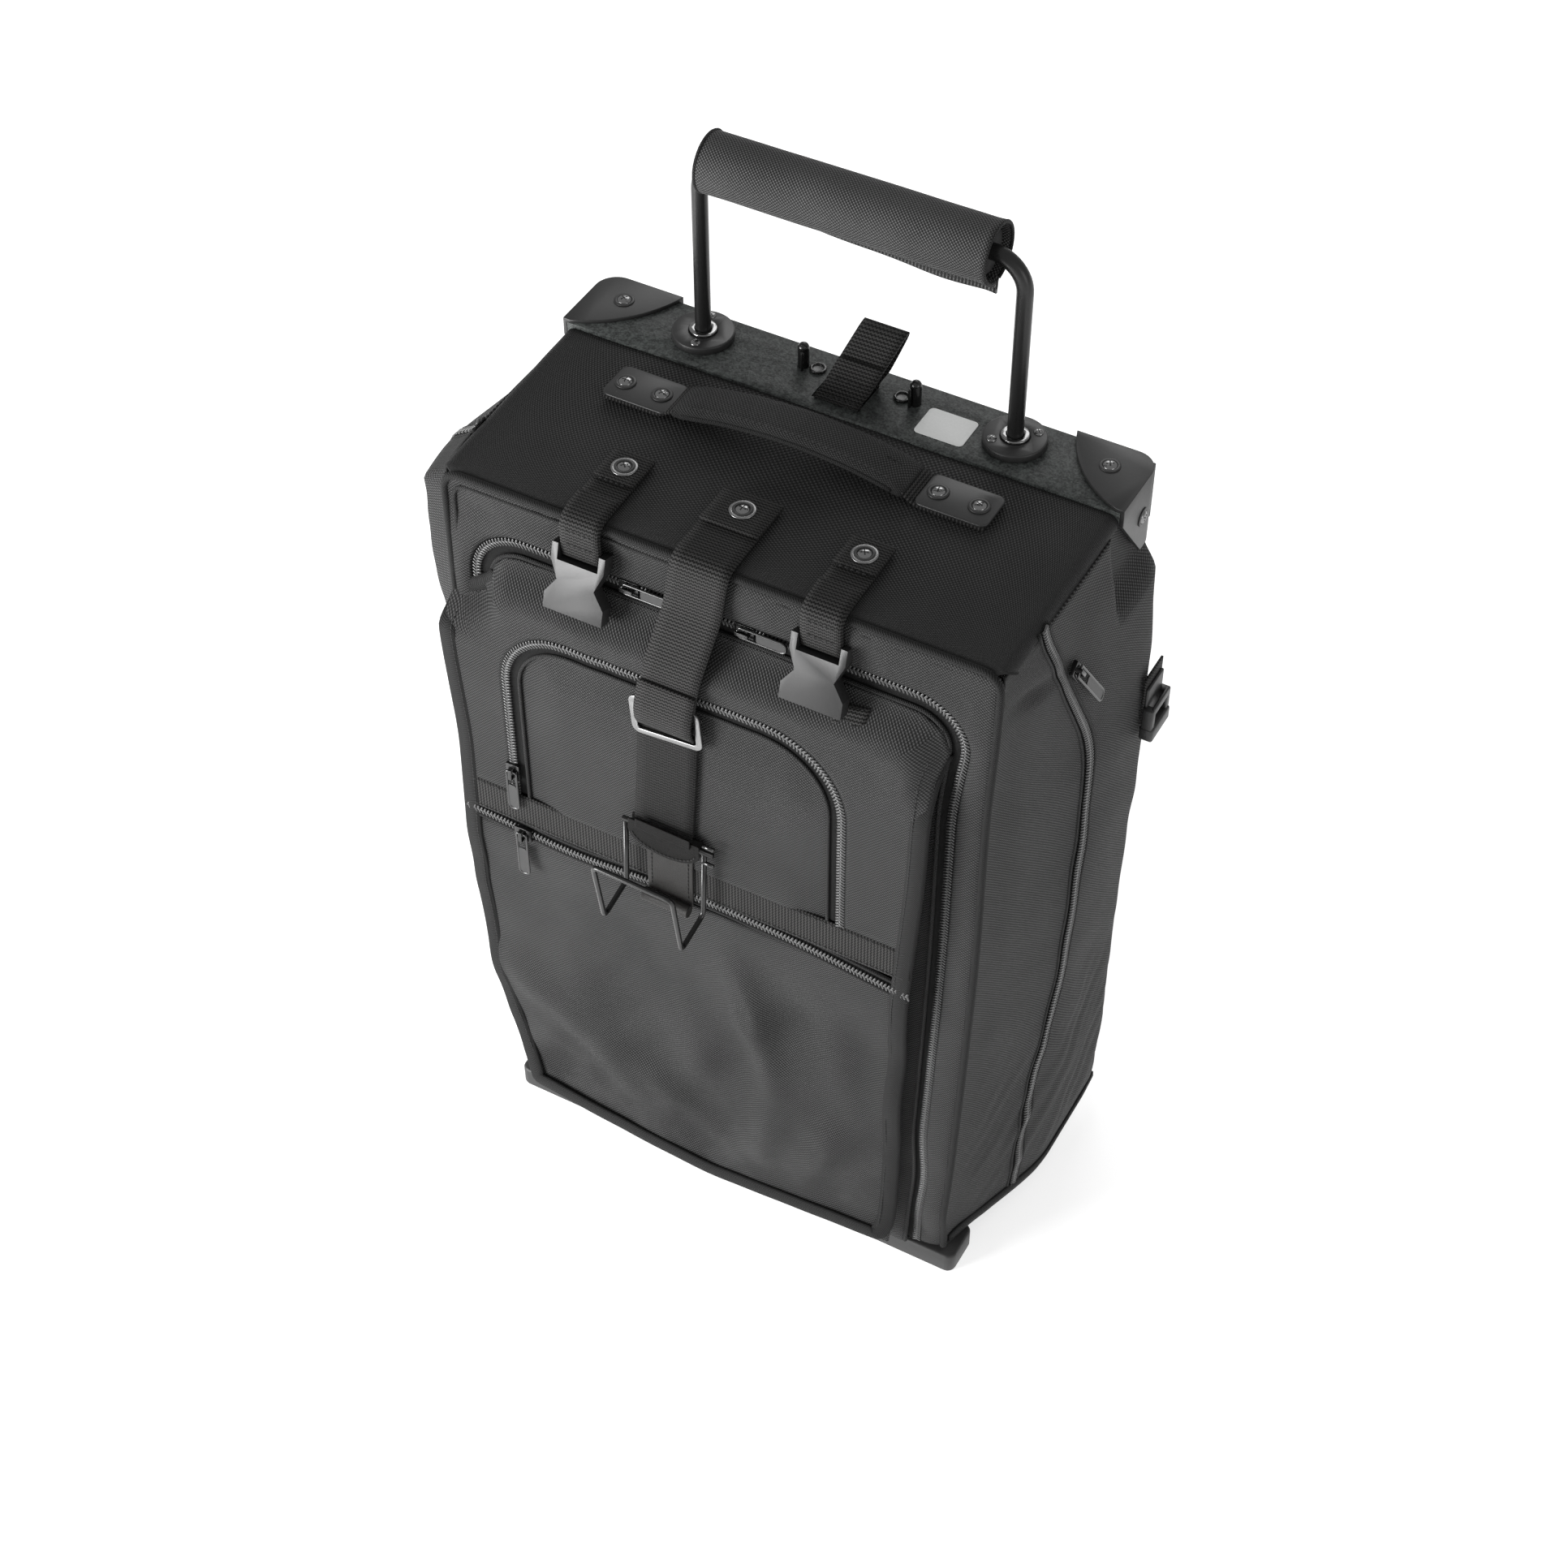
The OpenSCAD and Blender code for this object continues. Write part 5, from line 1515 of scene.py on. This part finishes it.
tongue = [(-0.024, 0.004), (0.024, 0.004), (0.0245, -0.004)]
tongue += [(0.0245 * math.cos(a), -0.004 - 0.0135 * math.sin(a)) for a in (math.pi * k / 14 for k in range(1, 14))]
tongue += [(-0.0245, -0.004)]
leather_piece("keeper_front", tongue, -0.0108, 0.0013, leather_dark, ["hook_keeper"])
leather_piece("keeper_back", tongue, -0.0060, 0.0012, leather_dark)
wide = [(-0.0185, 0.0075), (0.0185, 0.0075), (0.0185, 0.0), (-0.0185, 0.0)]
leather_piece("keeper_step", wide, -0.0122, 0.0013, leather_dark)
tab = [(-0.0155, 0.004), (0.0155, 0.004), (0.0155, -0.060), (-0.0155, -0.060)]
leather_piece("hook_tab", tab, -0.0034, 0.0018, leather)
roll = [LEAN @ (KEEP_AT + Vector((x, -0.0078, -0.0605))) for x in (-0.0158, 0.0158)]
keep(sweep(roll, circle(0.0042, 16), (0, -1, 0), closed=True, gap=0.004), "hook_tab_roll", "bag", leather,
    bevel=0.0005)
for side in (-1, 1):
    row = [LEAN @ (KEEP_AT + Vector((0.0125 * side, -0.0036, -0.004 - 0.0035 * k))) for k in range(16)]
    stitches("tab_stitches_" + ("left" if side < 0 else "right"), row, ahead, "bag")
arc = [(0.0215 * math.cos(a), -0.004 - 0.011 * math.sin(a)) for a in (math.pi * k / 22 for k in range(23))]
stitches("keeper_stitches", [LEAN @ (KEEP_AT + Vector((x, -0.0110, z))) for x, z in arc], ahead, "bag",
    pitch=0.0028)
print("middle strap hangs to", round(KEEP_AT.z, 3))

# %% [markdown]
# ## Hook
# The hook is one bent wire: down, forward under, and up to a crossbar that a
# second bag's handle drops behind. Its ends turn round a rod in the keeper. A
# curve with a round section and rounded corners is exactly that.
# %% Hook
HOOK_AT = Vector((-0.022, FACE - 0.0089, 0.352))
HOOK_LEAN = Matrix.Translation(HOOK_AT) @ Matrix.Rotation(math.radians(2), 4, "Y")
HX = 0.0265


def hook_pt(x, y, z):
    return HOOK_LEAN @ Vector((x, y, z))


left = [(0, 0), (0, -0.055), (-0.026, -0.0615), (-0.037, -0.0065)]
bend = [hook_pt(-HX, y, z) for y, z in left] + [hook_pt(HX, y, z) for y, z in reversed(left)]
wire("hook_bow", rounded(bend, 0.0045, n=6), 0.00165, "hook", black_metal, sides=4, replaces=["hook_wire"])
rods = [[hook_pt(-0.0285, 0, 0), hook_pt(0.0325, 0, 0)]]
wire("hook_rod", rods, 0.0017, "hook", black_metal, sides=4)
stubs = [[hook_pt(0.0262, -0.001, z), hook_pt(0.0335, -0.001, z)] for z in (0.0065, -0.0075)]
wire("keeper_wires", stubs, 0.0013, "bag", pull_metal, sides=3)
print("hook bent")

# %% [markdown]
# ## Zip pulls
# Every slider carries the same kind of pull: a small link on the slider, and a
# long wire loop whose lower part is filled by a thin plate. Each hangs from the
# pin it turns on, so it is drawn once, hanging from its own origin, and a matrix
# puts it on its slider. The matrices use the same pins as the hard frame.
# %% Pulls
def axes(place, right, up):
    """matrix whose X goes along right and Z along up"""
    x, z = Vector(right).normalized(), Vector(up).normalized()
    z = (z - x * z.dot(x)).normalized()
    return Matrix.Translation(place) @ Matrix((x, z.cross(x), z)).transposed().to_4x4()


def pull(name, node, body, at, long, wide=0.0084):
    half, low = wide / 2 - 0.0008, -long + 0.0012
    loop = [(-half, 0), (-half, low), (half, low), (half, 0)]
    ring_path = rounded([(x, 0, z) for x, z in loop], half * 0.98, closed=False, n=7)
    top = rounded([(half, 0, 0), (half, 0, 0.0022), (-half, 0, 0.0022), (-half, 0, 0)], half * 0.5, n=5)
    path = [at @ Vector(p) for p in ring_path + top[1:-1]]
    wire(name, path, 0.0008, body, pull_metal, closed=True, sides=3, replaces=[node])
    edge = [(-half, -long * 0.36), (-half, low + half), (-half * 0.7, low + half * 0.3), (0, low)]
    edge += [(half * 0.7, low + half * 0.3), (half, low + half), (half, -long * 0.36),
        (half * 0.6, -long * 0.3), (-half * 0.6, -long * 0.3)]
    tongue_bm = plate([at @ Vector((x, -0.0004, z)) for x, z in edge], 0.0008, at.to_3x3() @ Vector((0, 1, 0)))
    keep(tongue_bm, name + "_tongue", body, black_satin, bevel=0.0002)
    small = [(-0.0016, 0.0008, -0.001), (-0.0016, -0.0006, 0.0034), (0.0016, -0.0006, 0.0034),
        (0.0016, 0.0008, -0.001)]
    wire(name + "_link", [at @ p for p in rounded(small, 0.0012, n=4)], 0.0006, body, pull_metal, sides=2)


for name, node, body, x in (
    ("main_pull_left_loop", "main_pull_left", "left_main_pull", -0.053),
    ("main_pull_right_loop", "main_pull_right", "right_main_pull", 0.020),
):
    at = axes((x, FRONT - 0.0015 - 0.0038, ZIP_Z), (0, 0, 1), (-1, 0, 0))
    pull(name, node, body, at, 0.028)
at = axes((-0.128, FACE - 0.001 - 0.0038, 0.292), (1, 0, 0), (0, 0, 1))
pull("lower_pull_loop", "lower_pull", "lower_pull", at, 0.034)
at = axes((-0.131, FACE - 0.001 - 0.0038, 0.345), (1, 0, 0), (0, 0, 1))
pull("panel_pull_loop", "panel_pull", "panel_pull", at, 0.030)
tilt = Matrix.Rotation(math.radians(-9), 4, "Y") @ Matrix.Rotation(math.radians(32.3), 4, "X")
tilt = Matrix.Translation((0.183, 0.0096, 0.496)) @ tilt @ Matrix.Rotation(math.pi / 2, 4, "Z")
tilt = tilt @ Matrix.Translation((0, -0.0038, -0.001))
pull("side_pull_right_loop", "side_pull_right", "right_side_pull", tilt, 0.042)
mirror = Matrix.Diagonal((-1, 1, 1, 1))
pull("side_pull_left_loop", "side_pull_left", "left_side_pull", mirror @ tilt, 0.042)
print("zip pulls hung")

# %% [markdown]
# ## Wheels
# A wheel is a grooved tyre on a hub with six windows. The tyre is a closed
# section spun round the axle, so its grooves are true rings. The hub is spun
# too, and its ribs are one small bar repeated around.
# %% Wheels
def spun(bm, section, centre, steps_round=64):
    """closed section of (radius, across) spun round an axle along X"""
    old = set(bm.verts)
    vs = [bm.verts.new((a, 0, r)) for r, a in section]
    es = [bm.edges.new(pair) for pair in zip(vs, vs[1:] + vs[:1])]
    bmesh.ops.spin(
        bm, geom=vs + es, cent=(0, 0, 0), axis=(1, 0, 0), dvec=(0, 0, 0), angle=TAU, steps=steps_round,
            use_merge=True
    )
    bmesh.ops.translate(bm, vec=centre, verts=[v for v in bm.verts if v not in old])
    return bm


for node, body in (("wheel_left", "left_wheel"), ("wheel_right", "right_wheel")):
    low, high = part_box(node)
    mid, r, w = (low + high) / 2, (high.z - low.z) / 2, (high.x - low.x) / 2
    tread = [(r - 0.0004 - 0.0012 * (k % 2), -w * 0.62 + w * 1.24 * k / 12) for k in range(13)]
    section = [(0.031, -w * 0.8), (0.033, -w), (r - 0.004, -w), (r - 0.0012, -w * 0.86)]
    section += tread + [(r - 0.0012, w * 0.86), (r - 0.004, w), (0.033, w), (0.031, w * 0.8)]
    finish_mesh(spun(bmesh.new(), section, mid), node + "_tyre", body, rubber, bevel=0.0003, replaces=[node])
    hub = spun(bmesh.new(), [(0.0255, -w * 0.7), (0.0315, -w * 0.7), (0.0315, w * 0.7), (0.0255, w * 0.7)], mid)
    spun(hub, [(0.0085, -w * 0.8), (0.0125, -w * 0.8), (0.0125, w * 0.8), (0.0085, w * 0.8)], mid, 32)
    spun(hub, [(0.012, -0.0015), (0.026, -0.0015), (0.026, 0.0015), (0.012, 0.0015)], mid, 48)
    for k in range(6):
        turn_by = Matrix.Translation(mid) @ Matrix.Rotation(TAU * k / 6, 4, "X")
        old = set(hub.verts)
        block((w * 1.3, 0.004, 0.015), (0, 0, 0.019), hub, bevel=0.0008, segments=1)
        bmesh.ops.transform(hub, matrix=turn_by, verts=[v for v in hub.verts if v not in old])
    finish_mesh(hub, node + "_hub", body, moulded, bevel=0.0004)
print("wheels turned")

# %% [markdown]
# ## Small cloth parts
# A short strip of webbing holds each side fitting, which is a flat hook made of
# a few bevelled blocks. A small woven tag without any mark sticks out of the
# seam above the outer pocket, and a wire eye is sewn into the left front seam.
# %% Tag, fittings and eye
tag = patch(6, 6, lambda u, v: on_face(0.081 + 0.019 * u, 0.4835 + 0.011 * v + 0.002 * u, 0.0016 + 0.0012 * v))
keep(tag, "woven_tag", "bag", band_cloth, thick=0.0008)
row = [on_face(0.0825 + 0.016 * k / 6, 0.4935 + 0.002 * k / 6, 0.0034) for k in range(7)]
stitches("tag_stitches", row, ahead, "bag", pitch=0.0026)
for side in (-1, 1):
    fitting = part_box("side_fittings")
    fx, fy = fitting[1].x - 0.005, (fitting[0].y + fitting[1].y) / 2
    bm = block((0.0022, 0.022, 0.030), (side * (fx - 0.002), fy, 0.402), bevel=0.0008)
    block((0.0090, 0.026, 0.010), (side * (fx + 0.0005), fy, 0.383), bm, bevel=0.0015)
    for k in (-1, 1):
        block((0.0070, 0.005, 0.016), (side * (fx + 0.0005), fy + 0.0105 * k, 0.395), bm, bevel=0.001)
    block((0.0022, 0.022, 0.006), (side * (fx + 0.003), fy, 0.401), bm, bevel=0.0008)
    finish_mesh(bm, "side_hook_" + ("left" if side < 0 else "right"), "bag", moulded,
        replaces=["side_fittings"] if side < 0 else ())
    web = [Vector((side * (fx - 0.0035), fy, z)) for z in (0.425, 0.41, 0.39)]
    keep(sweep(web, [(-0.012, 0), (0, 0), (0.012, 0)], (side, 0, 0)), f"fitting_webbing_{side + 1}", "bag",
        strap_cloth, thick=0.0014, offset=0)
eye = [(-HALF - 0.012, -0.056 + 0.005 * math.cos(TAU * k / 16),
    0.395 + 0.005 * math.sin(TAU * k / 16)) for k in range(16)]
wire("seam_eye", [Vector(p) for p in eye], 0.0009, "bag", chrome, closed=True, sides=3)
print("tags sewn")

# %% [markdown]
# ## Finishes for the remaining hard parts
# Tubes, axles, bearings and the guide tubes inside are smooth round parts that
# need no new shape. They keep the frame's own mesh and only take a finish.
# %% Finishes on the frame
PLAIN = {
    "pull_tubes": tube_black, "tube_glides": glide_plastic, "guide_tubes": bare_tube,
    "wheel_axles": screw_steel, "wheel_bearings_left": ring_steel, "wheel_bearings_right": ring_steel,
}
BY_SLOT = {
    "black_plastic": moulded, "nylon_cloth": cloth, "webbing": strap_cloth, "zip": zip_cloth, "foam": foam,
    "leather": leather, "bright_metal": glide_metal, "screw_steel": screw_steel,
    "tube_aluminium": bare_tube, "black_tube": tube_black, "bearing_steel": ring_steel,
        "glide_plastic": glide_plastic,
    "wheel_rubber": rubber, "satin_black": black_satin, "textured_plate": coat, "label": label_card,
}
slots = {part["node"]: part["material_slot"] for part in frame["record"]["subparts"]}
for node, ob in frame["nodes"].items():
    ob.data.materials.clear()
    ob.data.materials.append(PLAIN.get(node) or BY_SLOT[slots[node]])
print(len(frame["nodes"]), "hard parts finished")

# %% [markdown]
# ## Floor and close
# The floor is white and glows a little, like a sheet lit from below, so it stays
# white in the picture and opens the shadows under the bag.
# %% Floor and close
bm = bmesh.new()
bmesh.ops.create_grid(bm, x_segments=1, y_segments=1, size=6)
floor = bpy.data.objects.new("floor", bpy.data.meshes.new("floor"))
bm.to_mesh(floor.data)
bm.free()
bpy.context.collection.objects.link(floor)
f = Finish("white floor", "", 0.9, Emission_Color=(1, 1, 1, 1), Emission_Strength=0.6)
floor.data.materials.append(f.done((0.88, 0.88, 0.88)))
